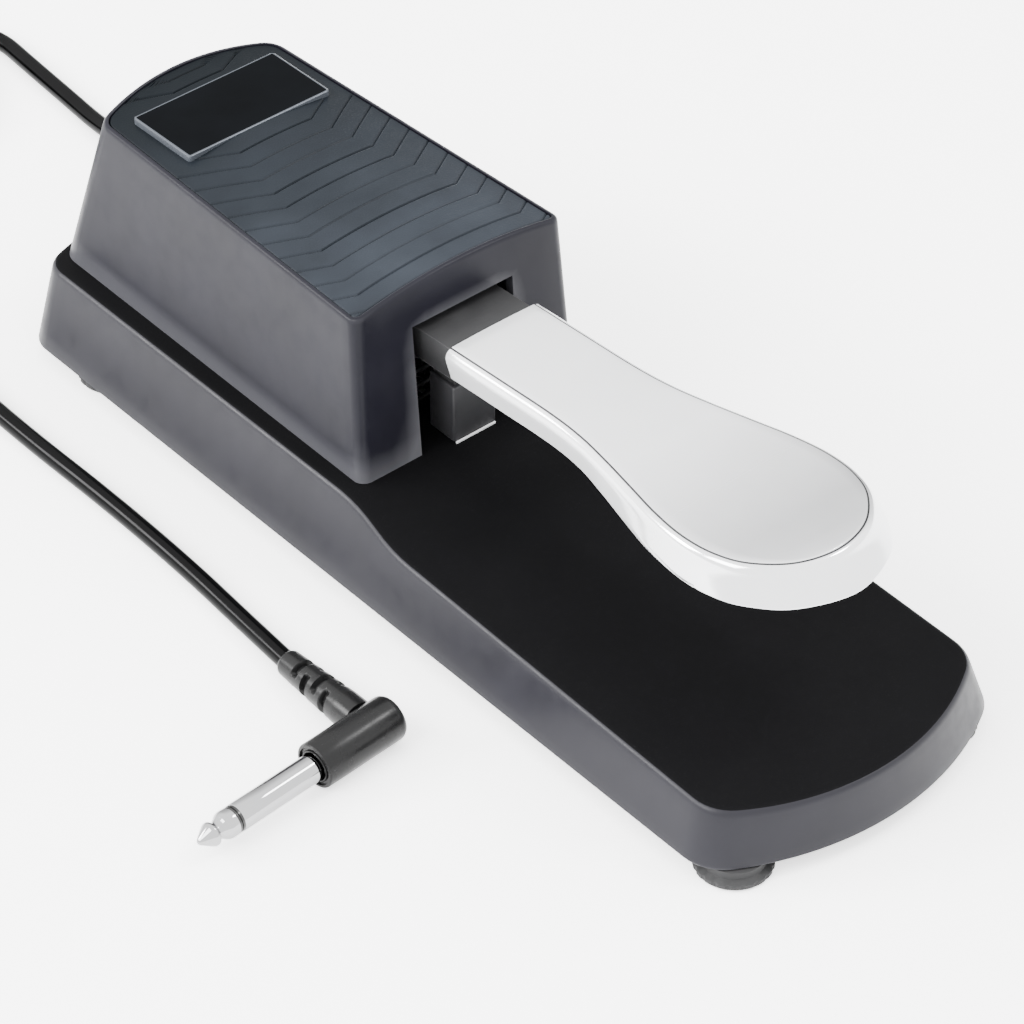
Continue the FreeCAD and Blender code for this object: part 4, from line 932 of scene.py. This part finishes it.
def make_small_parts():
    """CAD shapes with broken edges, the painted highlight strip and the spring, and looks for what stays
    hidden.
    """
    post = finish("stop_moulded", (0.013, 0.013, 0.0145), 0.5, spec=0.4, grain=(2400, 0.15))
    # The arm's lighter edges, by pointiness, are wear and painted highlight.
    arm = finish("arm_black", (0.006, 0.006, 0.0065), 0.46, spec=0.34, grain=(1800, 0.16), spread=0.08,
                 wear_and_highlight=(0.05, 0.05, 0.052))
    rubber = finish("foot_rubber", (0.010, 0.010, 0.0105), 0.7, spec=0.3, grain=(1500, 0.4), mottle=0.25)
    gland = finish("gland_rubber", (0.007, 0.007, 0.0072), 0.45, spec=0.3, grain=(1500, 0.2))
    # The screws' lighter edges are wear and painted highlight.
    steel = finish("screw_steel", (0.5, 0.5, 0.51), 0.3, metal=1.0, grain=(900, 0.08), wear_and_highlight=(0.8, 0.8, 0.8))
    powder = finish("plate_powder", (0.012, 0.012, 0.0125), 0.55, spec=0.4, grain=(1300, 0.5), mottle=0.2)
    for node, width, body, slot, material, segments in (
            ("stop_block", 0.5, "housing", "tower_grey", post, 3),
            ("pedal_arm", 0.7, "pedal", "arm_black", arm, 3),
            ("front_feet", 0.2, "housing", "foot_rubber", rubber, 2),
            ("rear_feet", 0.2, "housing", "foot_rubber", rubber, 2),
            ("cable_gland", 0.25, "housing", "cord_black", gland, 2),
            ("foot_screws", 0.12, "housing", "screw_steel", steel, 2),
            ("bottom_plate_screws", 0.12, "housing", "screw_steel", steel, 2),
            ("bracket_screws", 0.12, "housing", "screw_steel", steel, 2),
            ("bottom_plate", 0.25, "housing", "plate_steel", powder, 2)):
        softened(node, width, body, slot, material, segments)
    # A bright strip where the stop post meets the deck: a painted highlight along the post's lower edge.
    highlight_strip = rounded_box("stop_highlight_strip", 5.6, 6.72, 7.12, 0.15,
                       [(23.0, 0.05), (23.15, 0.0), (23.5, 0.0), (23.62, 0.08)], 3)
    paint(highlight_strip, finish("stop_edge_painted_highlight", (0.55, 0.55, 0.56), 0.4, metal=0.2, grain=(900, 0.1)))
    belong(highlight_strip, "housing", "tower_grey")

    wire = finish("spring_wire", (0.006, 0.006, 0.0065), 0.5, metal=0.1, spec=0.15, grain=(1200, 0.1))
    spring = softened("return_spring", 0.0, "housing", "spring_steel", wire)
    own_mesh(spring)

    looks = {
        "screw_steel": steel,
        "foot_rubber": rubber,
        # The bracket's lighter edges are wear and painted highlight.
        "bracket_zinc": finish("bracket_zinc", (0.45, 0.46, 0.47), 0.34, metal=1.0, grain=(700, 0.15),
                               mottle=0.12, wear_and_highlight=(0.7, 0.7, 0.7)),
        "pin_steel": finish("pin_steel", (0.55, 0.55, 0.56), 0.2, metal=1.0, grain=(2000, 0.05)),
        "bush_nylon": finish("bush_nylon", (0.42, 0.41, 0.37), 0.5, grain=(1200, 0.1)),
        "spring_steel": finish("leaf_steel", (0.5, 0.5, 0.5), 0.28, metal=1.0, grain=(1500, 0.06)),
        "switch_black": finish("switch_black", (0.012, 0.012, 0.013), 0.45, grain=(1500, 0.15)),
        "switch_red": finish("switch_red", (0.3, 0.02, 0.02), 0.35, grain=(1500, 0.05)),
        "terminal_brass": finish("terminal_brass", (0.6, 0.46, 0.2), 0.3, metal=1.0, grain=(1500, 0.08)),
        "slider_white": finish("slider_white", (0.5, 0.5, 0.48), 0.5, grain=(1500, 0.1)),
        "cord_black": finish("inner_sheath", (0.006, 0.006, 0.006), 0.4, spec=0.3, grain=(1500, 0.1)),
        "clamp_black": finish("clamp_black", (0.01, 0.01, 0.01), 0.5, grain=(1500, 0.15)),
        "wire_red": finish("wire_red", (0.3, 0.02, 0.015), 0.4, grain=(1500, 0.05)),
    }
    for part in frame["record"]["subparts"]:
        node, slot = part["node"], part.get("material_slot")
        if slot in looks:
            paint(NODES[node], looks[slot])


make_camera()
make_plug()
make_small_parts()
make_cord()
make_base()
make_tower()
make_nameplate()
make_spoon()
make_studio()
